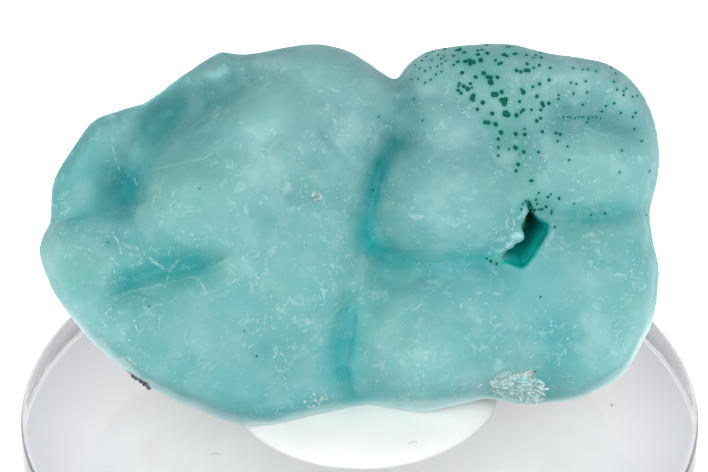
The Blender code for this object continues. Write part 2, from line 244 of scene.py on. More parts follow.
def eased(mesh: bpy.types.Mesh, rounds: int, weights: Array | None = None) -> bpy.types.Mesh:
    """Smooths a mesh.

    Args:
        mesh: The mesh, which is used up.
        rounds: How many times every vertex moves halfway to its neighbours.
        weights: How much of the move each vertex makes, or None for all of it.

    Returns:
        The smoothed mesh.
    """
    obj = new_object("uneven", mesh)
    modifier = obj.modifiers.new("Ease", "SMOOTH")
    modifier.factor = 0.5
    modifier.iterations = rounds
    if weights is not None:
        group = obj.vertex_groups.new(name="Ease")
        for index, weight in enumerate(weights):
            if weight > 0:
                group.add((index,), float(weight), "REPLACE")
        modifier.vertex_group = group.name
    return baked(obj)


def evened(mesh: bpy.types.Mesh, cell: float, rounds: int) -> bpy.types.Mesh:
    """Rebuilds a mesh from even cells and smooths it.

    Args:
        mesh: The mesh, which is used up.
        cell: The cells' size, in millimetres.
        rounds: How many times it is smoothed.

    Returns:
        The even mesh.
    """
    obj = new_object("coarse", mesh)
    remesh = obj.modifiers.new("Even", "REMESH")
    remesh.mode = "VOXEL"
    remesh.voxel_size = cell * MM
    return eased(baked(obj), rounds)


def report(obj: bpy.types.Object) -> None:
    """Rides a finished piece on the one body and logs it."""
    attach(obj, "root")
    LOG.info("%s: %d faces", obj.name, len(obj.data.polygons))


def smoothstep(values: Array, low: float, high: float) -> Array:
    """A soft step from 0 at low to 1 at high; high may be the smaller."""
    t = np.clip((values - low) / (high - low), 0, 1)
    return t * t * (3 - 2 * t)


def distance_to_route(points: Array, route: Route) -> Array:
    """How far each point of the face is from a line of straight runs.

    Args:
        points: Places on the face, in millimetres.
        route: The line's points.

    Returns:
        The distance of each point, in millimetres.
    """
    points = points[:, :2]
    nearest = np.full(len(points), np.inf)
    for start, end in zip(route[:-1], route[1:]):
        run = np.subtract(end, start)
        along = np.clip((points - start) @ run / max(run @ run, 1e-9), 0, 1)
        gap = points - start - along[:, None] * run
        nearest = np.minimum(nearest, np.hypot(gap[:, 0], gap[:, 1]))
    return nearest


def signed_distance(points: Array, route: Route) -> Array:
    """How far each point of the face lies to the left of a route; to the right is negative.

    Args:
        points: Places on the face, in millimetres.
        route: The route's points, in the order of travel.

    Returns:
        The distance of each point, in millimetres.
    """
    nearest, signed = np.full(len(points), np.inf), np.zeros(len(points))
    for start, end in zip(route[:-1], route[1:]):
        run = np.subtract(end, start)
        away = distance_to_route(points, (start, end))
        left = np.sign(run[0] * (points[:, 1] - start[1]) - run[1] * (points[:, 0] - start[0]))
        closer = away < nearest
        nearest[closer] = away[closer]
        signed[closer] = (left * away)[closer]
    return signed


def noise_of(points: Array, size: float, seed: float = 0.0, octaves: int = 1) -> Array:
    """Smooth noise at each point.

    Args:
        points: Places in millimetres.
        size: The size of its swellings, in millimetres.
        seed: Shifts the pattern, so that two layers differ.
        octaves: How many finer layers are added.

    Returns:
        A value from about -1 to 1 for each point.
    """
    shift = Vector((seed, 2 * seed, -seed))
    if octaves == 1:
        return np.array([noise.noise(Vector(p) / size + shift) for p in points])
    return np.array([noise.fractal(Vector(p) / size + shift, 1.0, 2.0, octaves) for p in points])


@dataclass(frozen=True)
class Face:
    """The stone's face: a plane that leans back, with its foot line just over the base."""

    lean: float = 33.6
    foot: tuple[float, float, float] = (0.0, -2.8, 7.6)

    def matrix(self) -> Matrix:
        """The matrix from face millimetres to the world's metres."""
        turn = Matrix.Rotation(math.radians(90 - self.lean), 4, "X")
        return Matrix.Translation(Vector(self.foot) * MM) @ turn @ Matrix.Scale(MM, 4)

    def from_world(self, points: Array) -> Array:
        """Places in the world, in metres, as u, v and n in millimetres."""
        back = np.array(self.matrix().inverted())
        return points @ back[:3, :3].T + back[:3, 3]

    def to_world(self, points: Array) -> Array:
        """Places on the face, in millimetres, as the world's metres."""
        out = np.array(self.matrix())
        return points @ out[:3, :3].T + out[:3, 3]

    def out(self) -> Vector:
        """The direction that the face looks in."""
        return self.matrix().to_3x3().col[2].normalized()


FACE = Face()
FAR_OFF = 1e3


@dataclass(frozen=True)
class Cloud:
    """Soft-edged patches in a material: their size in millimetres and where they fade in."""

    size: float
    low: float
    high: float
    top: float = 1.0
    detail: float = 2.0
    roughness: float = 0.5
    distortion: float = 0.0

    def share(self, tree: Tree, place: Any) -> Any:
        """How much of the patches there is at a place, from 0 between them to their top."""
        tone = add(tree, NOISE, {}, {
            "Vector": place, "Scale": per_size(self.size), "Detail": self.detail,
            "Roughness": self.roughness, "Distortion": self.distortion})
        return add(tree, RANGE, SOFT, {
            "Value": tone.outputs["Fac"], "From Min": self.low, "From Max": self.high,
            "To Max": self.top}).outputs["Result"]


@dataclass(frozen=True)
class Wear:
    """An uneven polish: its patches' size in millimetres and its two roughnesses."""

    size: float
    polished: float
    worn: float
    detail: float = 2.0
    low: float = 0.0
    high: float = 1.0

    def spread(self, tree: Tree, place: Any, shader: bpy.types.Node) -> None:
        """Feeds a shader's roughness with the polish at a place."""
        rub = add(tree, NOISE, {}, {"Vector": place, "Scale": per_size(self.size),
                                    "Detail": self.detail})
        dull = add(tree, RANGE, {}, {
            "Value": rub.outputs["Fac"], "From Min": self.low, "From Max": self.high,
            "To Min": self.polished, "To Max": self.worn})
        tree.links.new(dull.outputs["Result"], shader.inputs["Roughness"])


@dataclass(frozen=True)
class Bruise:
    """A pale line on the face: its route and half its width in millimetres, and its strength."""

    half_width: float
    share: float
    route: Route


@dataclass(frozen=True)
class Stroke:
    """Fine lines in the crust, in millimetres, and the share of a mosaic's cells with one."""

    cell: float
    half_length: float
    half_width: float
    shown: float


@dataclass(frozen=True)
class CrustFinish:
    """Smithsonite: a fine-grained carbonate crust, waxy and milky, coloured by copper.

    Light goes a millimetre or so into it. Its colour is painted deeper and cleaner in hollows,
    partly as painted shade, paler on the domes, partly as painted light, greyer towards the top
    as a painted sheen and shade, and pale along the thin foot as a painted glow.
    Pale flecks are grains that the surface has etched or bruised.
    """

    dome: str = "#68A3A5"
    body: str = "#4D979A"
    # The hollows' colour: partly the thicker crust's own tone, partly painted shade.
    deep_and_shaded: str = "#009A9E"
    # Towards the top: a greyer crust colour and darker hollows, painted sheen and shade.
    deep_in_top_shade: str = "#17605F"
    top_sheen_and_shade: str = "#6C9698"
    moss: str = "#5FA092"
    proud: str = "#8DBEBD"
    # Paler on the domes: partly milky crust, partly painted light.
    rim: str = "#E4FBFA"
    # Pale along the foot, a painted glow of light from the base; at a low share also the fresh
    # break's paler tone.
    fleck: str = "#A9C6C6"
    stain: str = "#55988A"
    vug: str = "#109A94"
    vug_dark: str = "#003029"
    vug_milk: str = "#5AA39E"
    halo: str = "#2B9E92"
    splinter: str = "#2C3535"
    splinter_pale: str = "#75706C"
    rock: str = "#4E4842"
    rock_dark: str = "#1D1B1A"
    rust: str = "#7A5236"
    slant: tuple[float, float, float] = (0.28, 0.38, 0.33)
    cloudy: Cloud = Cloud(6.0, 0.3, 0.7, detail=3.0)
    mossy: Cloud = Cloud(7.0, 0.45, 0.7, 0.45)
    moss_shift: tuple[float, float, float] = (0.03, 0.0, 0.0)
    # Where the painted sheen and shade of the top fades in, in millimetres of height, and its
    # strength.
    top_sheen_heights: tuple[float, float] = (17.0, 31.0)
    top_sheen_share: float = 0.75
    proud_share: float = 0.7
    fleck_region: Cloud = Cloud(4.0, 0.2, 0.62)
    flecks_in_hollows: float = 0.35
    line_breaks: Cloud = Cloud(0.35, 0.3, 0.55)
    small_milk: Cloud = Cloud(0.9, 0.54, 0.74, 0.55, 4.0, 0.6, 0.6)
    large_milk: Cloud = Cloud(2.2, 0.45, 0.7, 0.3, 3.0)
    flake_size: float = 0.32
    flake_from: float = 0.92
    flake_share: float = 0.42
    short_stroke: Stroke = Stroke(0.55, 0.12, 0.07, 0.35)
    long_stroke: Stroke = Stroke(1.5, 0.36, 0.07, 0.3)
    stroke_heights: tuple[float, float] = (17.0, 27.0)
    stroke_shares: tuple[float, float] = (0.7, 0.5)
    dot_size: float = 0.4
    dot_share: float = 0.9
    broken_share: float = 0.15
    flaws: Cloud = Cloud(0.25, 0.5, 0.68, 0.8, 3.0)
    grit: Cloud = Cloud(1.1, 0.35, 0.6, 1.0, 6.0, 0.7)
    rusty: Cloud = Cloud(3.5, 0.5, 0.66, 0.8, 4.0)
    grain_size: float = 0.16
    grain_depth: float = 0.03
    gloss: float = 0.3
    vug_gloss: float = 0.02
    bruises: tuple[Bruise, ...] = (
        Bruise(0.20, 0.70, ((-15.4, 11.4), (-14.5, 10.7))),
        Bruise(0.10, 0.60, ((-13.3, 11.3), (-13.9, 10.7), (-14.2, 9.8))),
        Bruise(0.09, 0.60, ((-17.4, 8.8), (-16.4, 9.1), (-15.5, 9.2), (-14.7, 9.5), (-14.2, 9.3))),
        Bruise(0.08, 0.35, ((-13.8, 9.7), (-12.6, 10.0), (-11.7, 10.0))),
        Bruise(0.11, 0.60, ((-18.2, 13.3), (-17.7, 12.6), (-17.5, 11.8))),
        Bruise(0.12, 0.50, ((-11.6, 9.6), (-11.2, 8.9))),
        Bruise(0.13, 0.75, ((-17.5, 4.0), (-17.0, 4.2), (-16.4, 3.7))),
        Bruise(0.08, 0.50, ((-8.7, 21.4), (-7.4, 20.3), (-6.1, 20.6))),
        Bruise(0.08, 0.45, ((-7.4, 20.3), (-7.8, 19.7))),
        Bruise(0.10, 0.60, ((-18.3, 20.3), (-18.1, 18.9), (-17.8, 17.8))),
        Bruise(0.08, 0.80, ((-16.8, 17.4), (-16.5, 16.8))),
        Bruise(0.09, 0.35, ((-15.7, 17.9), (-14.8, 18.0), (-13.3, 18.3), (-11.3, 18.7),
                            (-10.4, 19.4))),
        Bruise(0.14, 0.22, ((-6.8, 1.8), (-2.8, 6.3), (-0.9, 8.5))),
        Bruise(0.17, 0.60, ((12.15, 15.1), (11.95, 14.55), (11.6, 14.35))),
        Bruise(0.34, 0.75, ((11.3, 13.05), (11.6, 13.1))),
        Bruise(0.16, 0.60, ((11.2, 12.7), (10.75, 12.2), (10.35, 11.9))),
        Bruise(0.22, 0.45, ((14.1, 14.3), (14.2, 13.4), (13.7, 12.4))),
    )

    def material(self) -> bpy.types.Material:
        """Builds the crust's material."""
        material, tree, shader = new_material("smithsonite_crust")
        place = add(tree, "ShaderNodeTexCoord").outputs["Object"]
        marks = {mark: add(tree, "ShaderNodeAttribute",
                           {"attribute_name": mark.value}).outputs["Fac"] for mark in Attr}
        colour = self.ground(tree, place, marks)
        colour = self.flecked(tree, place, marks, colour)
        colour = self.inner_parts(tree, place, marks, colour)
        tree.links.new(colour, shader.inputs["Base Color"])
        grain = add(tree, NOISE, {}, {"Vector": place, "Scale": per_size(self.grain_size),
                                      "Detail": 4.0, "Roughness": 0.6})
        bump = add(tree, "ShaderNodeBump", {},
                   {"Strength": 0.25, "Distance": self.grain_depth * MM,
                    "Height": grain.outputs["Fac"]})
        tree.links.new(bump.outputs["Normal"], shader.inputs["Normal"])
        dull = add(tree, RANGE, {}, {"Value": marks[Attr.VUG], "To Min": self.gloss,
                                     "To Max": self.vug_gloss})
        tree.links.new(dull.outputs["Result"], shader.inputs["Specular IOR Level"])
        set_shader(shader, {
            "Roughness": 0.55,
            "IOR": 1.6,
            "Subsurface Weight": 1.0,
            "Subsurface Radius": (1.0, 1.0, 1.0),
            "Subsurface Scale": 0.9 * MM,
        })
        return material

    def coated(self, tree: Tree, colour: Any, coats: tuple[tuple[Any, Any], ...]) -> Any:
        """Lays coats of colour over one another.

        Args:
            tree: The material's tree.
            colour: What lies under them.
            coats: How much each coat covers, and its colour as a hex code or an output.

        Returns:
            The colour on top.
        """
        for share, coat in coats:
            over = srgb(coat) if isinstance(coat, str) else coat
            colour = add(tree, MIX, COLOURS, {0: share, 6: colour, 7: over}).outputs[2]
        return colour

    def ground(self, tree: Tree, place: Any, marks: dict[Attr, Any]) -> Any:
        """The crust's colour: cloudy, paler on the domes, partly as painted light, deeper in
        hollows, partly as painted shade, and greyer towards the top as a painted sheen and shade.
        """
        aside = add(tree, VECTOR, {"operation": "ADD"}, {0: place, 1: self.moss_shift})
        height = add(tree, "ShaderNodeSeparateXYZ", {}, {0: place}).outputs["Z"]
        # Towards the top the colour is painted greyer: a painted sheen and shade.
        low, high = self.top_sheen_heights
        top_sheen_and_shade = add(tree, RANGE, SOFT, {
            "Value": height, "From Min": low * MM, "From Max": high * MM,
            "To Max": self.top_sheen_share}).outputs["Result"]
        # The domes painted paler: partly milky crust, partly painted light.
        proud = add(tree, MATH, PRODUCT,
                    {0: marks[Attr.PROUD_AND_LIT], 1: self.proud_share}).outputs[0]
        return self.coated(tree, srgb(self.body), (
            (self.cloudy.share(tree, place), self.dome),
            (self.mossy.share(tree, aside.outputs[0]), self.moss),
            (top_sheen_and_shade, self.top_sheen_and_shade),
            (proud, self.proud),
            # Hollows painted deeper: partly the thicker crust's tone, partly painted shade.
            (marks[Attr.HOLLOW_AND_SHADE],
             self.coated(tree, srgb(self.deep_and_shaded), ((top_sheen_and_shade, self.deep_in_top_shade),))),
            (marks[Attr.STAIN], self.stain),
        ))

    def flecked(self, tree: Tree, place: Any, marks: dict[Attr, Any], colour: Any) -> Any:
        """Adds the pale flecks: milky patches, angular flakes, short fine lines and dots."""
        share = self.clouds(tree, place)
        for layer in (self.flakes, self.strokes, self.dots):
            share = add(tree, MATH, HIGHEST, {0: share, 1: layer(tree, place)}).outputs[0]
        shallow = add(tree, RANGE, {},
                      {"Value": marks[Attr.HOLLOW_AND_SHADE], "To Min": 1.0,
                       "To Max": self.flecks_in_hollows})
        for thinned in (self.fleck_region.share(tree, place), shallow.outputs["Result"]):
            share = add(tree, MATH, PRODUCT, {0: share, 1: thinned}).outputs[0]
        share = add(tree, MATH, HIGHEST, {0: share, 1: self.hairlines(tree, place)}).outputs[0]
        # The foot's pale rim is a painted glow.
        return self.coated(tree, colour, ((share, self.fleck), (marks[Attr.FOOT_GLOW], self.rim)))

    def gap(self, tree: Tree, away: Any, way: Any, first: float, last: float) -> Any:
        """How far a place is from a straight line.

        Args:
            tree: The material's tree.
            away: The place, as seen from the line's origin.
            way: The line's direction, 1 long.
            first: Where the line starts along that direction.
            last: Where it ends.

        Returns:
            The distance, in the units of the place.
        """
        reach = add(tree, VECTOR, {"operation": "DOT_PRODUCT"}, {0: away, 1: way})
        along = add(tree, "ShaderNodeClamp", {}, {0: reach.outputs["Value"], 1: first, 2: last})
        foot = add(tree, VECTOR, {"operation": "SCALE"}, {0: way, "Scale": along.outputs[0]})
        return add(tree, VECTOR, {"operation": "DISTANCE"},
                   {0: away, 1: foot.outputs[0]}).outputs["Value"]

    def hairlines(self, tree: Tree, place: Any) -> Any:
        """The bruised lines that can be told apart, each along its own route on the face."""
        face = add(tree, "ShaderNodeMapping", {"vector_type": "TEXTURE"},
                   {"Vector": self.bent(tree, place, 0.5, 0.09),
                    "Location": [c * MM for c in FACE.foot],
                    "Rotation": (math.radians(90 - FACE.lean), 0.0, 0.0),
                    "Scale": (MM, MM, MM)}).outputs[0]
        flat = add(tree, VECTOR, PRODUCT, {0: face, 1: (1.0, 1.0, 0.0)}).outputs[0]
        whole = 0.0
        for line in self.bruises:
            gap = FAR_OFF
            for start, end in zip(line.route[:-1], line.route[1:]):
                run = Vector(end) - Vector(start)
                away = add(tree, VECTOR, LESS, {0: flat, 1: (*start, 0.0)}).outputs[0]
                near = self.gap(tree, away, (*run.normalized(), 0.0), 0.0, run.length)
                gap = add(tree, MATH, {"operation": "MINIMUM"}, {0: gap, 1: near}).outputs[0]
            shown = add(tree, RANGE, SOFT, {
                "Value": gap, "From Min": line.half_width, "From Max": 0.2 * line.half_width,
                "To Max": line.share}).outputs["Result"]
            whole = add(tree, MATH, HIGHEST, {0: whole, 1: shown}).outputs[0]
        patchy = self.line_breaks.share(tree, place)
        return add(tree, MATH, PRODUCT, {0: whole, 1: patchy}).outputs[0]

    def clouds(self, tree: Tree, place: Any) -> Any:
        """Milky patches from half a millimetre to two wide, with soft edges."""
        small = self.small_milk.share(tree, place)
        large = self.large_milk.share(tree, place)
        return add(tree, MATH, HIGHEST, {0: small, 1: large}).outputs[0]

    def flakes(self, tree: Tree, place: Any) -> Any:
        """Angular grains a third of a millimetre wide, one in twelve of a mosaic."""
        mosaic = {"Vector": self.bent(tree, place, 0.4, 0.2), "Scale": per_size(self.flake_size)}
        cell = add(tree, VORONOI, {}, mosaic)
        edge = add(tree, VORONOI, {"feature": "DISTANCE_TO_EDGE"}, mosaic)
        pick = add(tree, "ShaderNodeSeparateColor", {}, {0: cell.outputs["Color"]})
        chosen = add(tree, RANGE, SOFT, {"Value": pick.outputs[0], "From Min": self.flake_from,
                                         "To Max": self.flake_share})
        within = add(tree, RANGE, SOFT, {"Value": edge.outputs["Distance"], "From Max": 0.3})
        return add(tree, MATH, PRODUCT,
                   {0: chosen.outputs["Result"], 1: within.outputs["Result"]}).outputs[0]

    def strokes(self, tree: Tree, place: Any) -> Any:
        """Fine lines in the surface, slightly bent: many short ones and a few longer."""
        wavy = self.bent(tree, self.bent(tree, place, 0.5, 0.2), 0.15, 0.05)
        short = self.lines(tree, wavy, self.short_stroke)
        long = self.lines(tree, wavy, self.long_stroke)
        both = add(tree, MATH, HIGHEST, {0: short, 1: long}).outputs[0]
        height = add(tree, "ShaderNodeSeparateXYZ", {}, {0: place}).outputs["Z"]
        (low, high), (below, above) = self.stroke_heights, self.stroke_shares
        seen = add(tree, RANGE, {}, {
            "Value": height, "From Min": low * MM, "From Max": high * MM, "To Min": below,
            "To Max": above}).outputs["Result"]
        return add(tree, MATH, PRODUCT, {0: both, 1: seen}).outputs[0]

    def lines(self, tree: Tree, place: Any, stroke: Stroke) -> Any:
        """One straight line in each chosen cell of a mosaic, laid flat in the surface.

        Args:
            tree: The material's tree.
            place: Where on the crust.
            stroke: The lines' size and how many there are.

        Returns:
            1 on the lines and 0 off them.
        """
        cells = add(tree, VORONOI, {}, {"Vector": place, "Scale": per_size(stroke.cell)}).outputs
        normal = add(tree, "ShaderNodeNewGeometry").outputs["Normal"]
        flat = []
        for first, second in ((place, cells["Position"]), (cells["Color"], self.slant)):
            free = add(tree, VECTOR, LESS, {0: first, 1: second}).outputs[0]
            rise = add(tree, VECTOR, {"operation": "PROJECT"}, {0: free, 1: normal}).outputs[0]
            flat.append(add(tree, VECTOR, LESS, {0: free, 1: rise}).outputs[0])
        away, slant = flat
        way = add(tree, VECTOR, {"operation": "NORMALIZE"}, {0: slant}).outputs[0]
        half_length, half_width = stroke.half_length * MM, stroke.half_width * MM
        gap = self.gap(tree, away, way, -half_length, half_length)
        luck = add(tree, "ShaderNodeTexWhiteNoise", {}, {"Vector": cells["Color"]})
        chosen = add(tree, RANGE, SOFT, {"Value": luck.outputs["Value"],
                                         "From Min": 1 - stroke.shown}).outputs["Result"]
        line = add(tree, RANGE, SOFT, {
            "Value": gap, "From Min": half_width, "From Max": 0.3 * half_width}).outputs["Result"]
        return add(tree, MATH, PRODUCT, {0: line, 1: chosen}).outputs[0]

    def dots(self, tree: Tree, place: Any) -> Any:
        """Pin-prick grains."""
        cells = add(tree, VORONOI, {}, {"Vector": place, "Scale": per_size(self.dot_size)}).outputs
        pick = add(tree, "ShaderNodeSeparateColor", {}, {0: cells["Color"]}).outputs[0]
        size = add(tree, RANGE, SOFT, {"Value": pick, "From Min": 0.5, "To Max": 0.26})
        near = add(tree, MATH, LESS, {0: size.outputs["Result"], 1: cells["Distance"]})
        return add(tree, RANGE, SOFT, {"Value": near.outputs[0], "From Max": 0.14,
                                       "To Max": self.dot_share}).outputs["Result"]

    def bent(self, tree: Tree, place: Any, size: float, reach: float) -> Any:
        """The place, pushed about by noise of this size and by this far, in millimetres."""
        push = add(tree, NOISE, {}, {"Vector": place, "Scale": per_size(size)})
        centred = add(tree, VECTOR, LESS, {0: push.outputs["Color"], 1: (0.5, 0.5, 0.5)})
        far = add(tree, VECTOR, {"operation": "SCALE"},
                  {0: centred.outputs[0], "Scale": 2 * reach * MM})
        return add(tree, VECTOR, {"operation": "ADD"}, {0: place, 1: far.outputs[0]}).outputs[0]

    def inner_parts(self, tree: Tree, place: Any, marks: dict[Attr, Any], colour: Any) -> Any:
        """Colours the crust round each spherule, the vug, the splinter and the back."""
        broken = add(tree, MATH, PRODUCT, {0: marks[Attr.BROKEN], 1: self.broken_share}).outputs[0]
        vug = self.coated(tree, srgb(self.vug), (
            (marks[Attr.SHADE], self.vug_dark), (marks[Attr.MILK], self.vug_milk)))
        splinter = self.coated(tree, srgb(self.splinter), (
            (self.flaws.share(tree, place), self.splinter_pale),))
        rock = self.coated(tree, srgb(self.rock_dark), (
            (self.grit.share(tree, place), self.rock),
            (self.rusty.share(tree, place), self.rust)))
        return self.coated(tree, colour, (
            (marks[Attr.HALO], self.halo), (broken, self.rim), (marks[Attr.VUG], vug),
            (marks[Attr.SPLINTER], splinter), (marks[Attr.MATRIX], rock)))


@dataclass(frozen=True)
class SpheruleFinish:
    """Zincolibethenite: glassy, deep green crystals that grow in balls."""

    green: str = "#00604F"
    dark: str = "#00463A"

    def material(self, green: str = "", dark: str = "") -> bpy.types.Material:
        """Builds the spherules' material.

        Args:
            green: The colour where it is lightest, if not the usual one.
            dark: The colour where it is darkest, if not the usual one.

        Returns:
            The material.
        """
        material, tree, shader = new_material("zincolibethenite")
        place = add(tree, "ShaderNodeTexCoord").outputs["Object"]
        tone = add(tree, NOISE, {}, {"Vector": place, "Scale": per_size(0.2)})
        ramp = add(tree, MIX, COLOURS,
                   {0: tone.outputs["Fac"], 6: srgb(dark or self.dark),
                    7: srgb(green or self.green)})
        tree.links.new(ramp.outputs[2], shader.inputs["Base Color"])
        facets = add(tree, VORONOI, {}, {"Vector": place, "Scale": per_size(0.08)})
        bump = add(tree, "ShaderNodeBump", {},
                   {"Strength": 0.5, "Distance": 0.02 * MM, "Height": facets.outputs["Distance"]})
        tree.links.new(bump.outputs["Normal"], shader.inputs["Normal"])
        set_shader(shader, {"Roughness": 0.5, "IOR": 1.7, "Specular IOR Level": 0.05})
        return material


@dataclass(frozen=True)
class CleavageFinish:
    """Fresh smithsonite: pale, glassy cleavage faces that light goes some way into."""

    pale: str = "#A6D6D4"
    glint: str = "#E3F5F3"
    splinter: str = "#3A4243"
    wear: Wear = Wear(0.5, 0.08, 0.3)

    def material(self, colour: str = "") -> bpy.types.Material:
        """Builds the fresh faces' material, in a given colour or in the usual one."""
        material, tree, shader = new_material("smithsonite_cleavage")
        place = add(tree, "ShaderNodeTexCoord").outputs["Object"]
        self.wear.spread(tree, place, shader)
        set_shader(shader, {"Base Color": srgb(colour or self.pale), "IOR": 1.65,
                            "Subsurface Weight": 0.8, "Subsurface Radius": (1.0, 1.0, 1.0),
                            "Subsurface Scale": 0.3 * MM})
        return material


@dataclass(frozen=True)
class AcrylicFinish:
    """Cast acrylic, clear, with polished faces and a flame-polished edge."""

    tint: str = "#F0F0F1"
    shaded: str = "#E2E3E7"
    edge: str = "#FAFAFC"
    # White, also the colour of the lower bevel's painted glow.
    bevel: str = "#FFFFFF"
    shade_reach: tuple[float, float] = (17.0, 25.4)
    sawn: Wear = Wear(0.1, 0.5, 0.7)
    turned: Wear = Wear(0.08, 0.1, 0.2)
    rubbed: Wear = Wear(2.5, 0.015, 0.05, 5.0, 0.45, 0.75)

    def glowing_bevel_material(self) -> bpy.types.Material:
        """Builds the lower bevel's material: sawn and left frosted, so it catches the light, and
        given a faint painted glow.
        """
        material, tree, shader = new_material("cast_acrylic_frosted_bevel_painted_glow")
        place = add(tree, "ShaderNodeTexCoord").outputs["Object"]
        self.sawn.spread(tree, place, shader)
        # The emission is a painted glow: acrylic gives no light of its own.
        set_shader(shader, {"Base Color": srgb(self.bevel), "Transmission Weight": 0.3,
                            "Emission Color": srgb(self.bevel), "Emission Strength": 0.2})
        return material

    def edge_material(self) -> bpy.types.Material:
        """Builds the side wall's material: turned and only half polished, so a little milky."""
        material, tree, shader = new_material("cast_acrylic_turned_edge")
        place = add(tree, "ShaderNodeTexCoord").outputs["Object"]
        around = add(tree, "ShaderNodeMapping", {}, {"Vector": place, "Scale": (0.05, 0.05, 1.0)})
        self.turned.spread(tree, around.outputs[0], shader)
        set_shader(shader, {"Base Color": srgb(self.edge), "Transmission Weight": 0.85,
                            "IOR": 1.49})
        return material

    def material(self) -> bpy.types.Material:
        """Builds the material of the polished faces."""
        material, tree, shader = new_material("cast_acrylic_clear")
        place = add(tree, "ShaderNodeTexCoord").outputs["Object"]
        across = add(tree, VECTOR, PRODUCT,
                     {0: place, 1: (1.0, 1.0, 0.0)}).outputs[0]
        radius = add(tree, VECTOR, {"operation": "LENGTH"}, {0: across})
        near_edge = add(tree, RANGE, SOFT,
                        {"Value": radius.outputs["Value"], "From Min": self.shade_reach[0] * MM,
                         "From Max": self.shade_reach[1] * MM}).outputs["Result"]
        tint = add(tree, MIX, COLOURS,
                   {0: near_edge, 6: srgb(self.tint), 7: srgb(self.shaded)})
        tree.links.new(tint.outputs[2], shader.inputs["Base Color"])
        set_shader(shader, {"Transmission Weight": 0.94, "IOR": 1.49})
        self.rubbed.spread(tree, place, shader)
        return material


@dataclass(frozen=True)
class TackFinish:
    """Mineral tack: a soft white putty, matt, with the marks of fingers."""

    white: str = "#E9E9E7"
    shade: str = "#DFDFDC"

    def material(self) -> bpy.types.Material:
        """Builds the putty's material."""
        material, tree, shader = new_material("mineral_tack_white")
        place = add(tree, "ShaderNodeTexCoord").outputs["Object"]
        cloud = add(tree, NOISE, {},
                    {"Vector": place, "Scale": per_size(3.0), "Detail": 4.0}).outputs["Fac"]
        mix = add(tree, MIX, COLOURS,
                  {0: cloud, 6: srgb(self.white), 7: srgb(self.shade)})
        tree.links.new(mix.outputs[2], shader.inputs["Base Color"])
        set_shader(shader, {"Roughness": 0.62, "Subsurface Weight": 0.4,
                            "Subsurface Radius": (1.0, 0.9, 0.8), "Subsurface Scale": 0.8 * MM})
        return material


@dataclass(frozen=True)
class SheetFinish:
    """The pale floor: a matt white sheet with soft light behind it, as on a light table."""

    white: str = "#FBFBFB"
    glow: float = 0.5

    def material(self) -> bpy.types.Material:
        """Builds the floor's material."""
        material, tree, shader = new_material("lit_white_sheet")
        place = add(tree, "ShaderNodeTexCoord").outputs["Object"]
        fibre = add(tree, NOISE, {}, {"Vector": place, "Scale": per_size(0.5)})
        bump = add(tree, "ShaderNodeBump", {},
                   {"Strength": 0.05, "Distance": 0.02 * MM, "Height": fibre.outputs["Fac"]})
        tree.links.new(bump.outputs["Normal"], shader.inputs["Normal"])
        set_shader(shader, {"Base Color": srgb(self.white), "Roughness": 0.9,
                            "Specular IOR Level": 0.1, "Emission Color": srgb(self.white),
                            "Emission Strength": self.glow})
        return material


@dataclass(frozen=True)
class Valley:
    """A soft crease on the crust, in millimetres."""

    depth: float
    half_width: float
    route: Route

    def away(self, points: Array) -> Array:
        """How far each point is from the crease's line, in half widths."""
        return distance_to_route(points, self.route) / self.half_width


@dataclass(frozen=True)
class Ledge:
    """A low step: the crust left of the route is sunk, deepest at the step itself."""

    depth: float
    reach: float
    route: Route


@dataclass(frozen=True)
class Lumps:
    """Uneven swellings: how far they stand out and their size in millimetres."""

    height: float
    size: float
    seed: float
    octaves: int = 1

    def at(self, points: Array) -> Array:
        """How far the swellings stand out at each point, in millimetres."""
        return self.height * noise_of(points, self.size, self.seed, self.octaves)


@dataclass(frozen=True)
class Bead:
    """A small ball of crust, by its place on the face and its radius."""

    u: float
    v: float
    n: float
    radius: float


@dataclass(frozen=True)
class Patch:
    """An oval on the face, in millimetres, turned by an angle in degrees."""

    u: float
    v: float
    reach_u: float
    reach_v: float
    turn: float = 0.0

    def out(self, points: Array) -> Array:
        """How far out each point is: 0 at the middle and 1 on the oval."""
        turn = math.radians(self.turn)
        du, dv = points[:, 0] - self.u, points[:, 1] - self.v
        across = (du * math.cos(turn) + dv * math.sin(turn)) / self.reach_u
        up = (dv * math.cos(turn) - du * math.sin(turn)) / self.reach_v
        return np.hypot(across, up)

    def plateau(self, points: Array) -> Array:
        """A flat-topped dome: 1 over the middle, running out to 0 a little past the oval."""
        return smoothstep(self.out(points), 1.1, 0.4)

    def dome(self, points: Array) -> Array:
        """A smooth dome: 1 at the middle, running out to 0 at the oval."""
        return np.clip(1 - self.out(points) ** 2, 0, 1) ** 2


def gathered(points: Array, start: Array, patches: tuple[tuple[Patch, float], ...]) -> Array:
    """Adds patches to a share, each filling its part of what is still missing.

    Args:
        points: Places on the face, in millimetres.
        start: The share before them.
        patches: Each patch and how much it fills at its middle.

    Returns:
        The share with them.
    """
    total = start.copy()
    for patch, share in patches:
        total += (1 - total) * share * patch.plateau(points)
    return total


@dataclass(frozen=True)
class Area:
    """A region of the face inside a ring of points, in millimetres."""

    ring: Route

    def inside(self, points: Array, soft: float) -> Array:
        """How far inside each point is: 0.5 on the ring, 1 or 0 this far inside or outside."""
        within = np.zeros(len(points), bool)
        x, y = points[:, 0], points[:, 1]
        closed = (*self.ring, self.ring[0])
        for (x0, y0), (x1, y1) in zip(closed[:-1], closed[1:]):
            if y0 != y1:
                crossing = x0 + (y - y0) * (x1 - x0) / (y1 - y0)
                within ^= ((y0 > y) != (y1 > y)) & (crossing > x)
        away = distance_to_route(points, closed)
        return smoothstep(np.where(within, away, -away), -soft, soft)


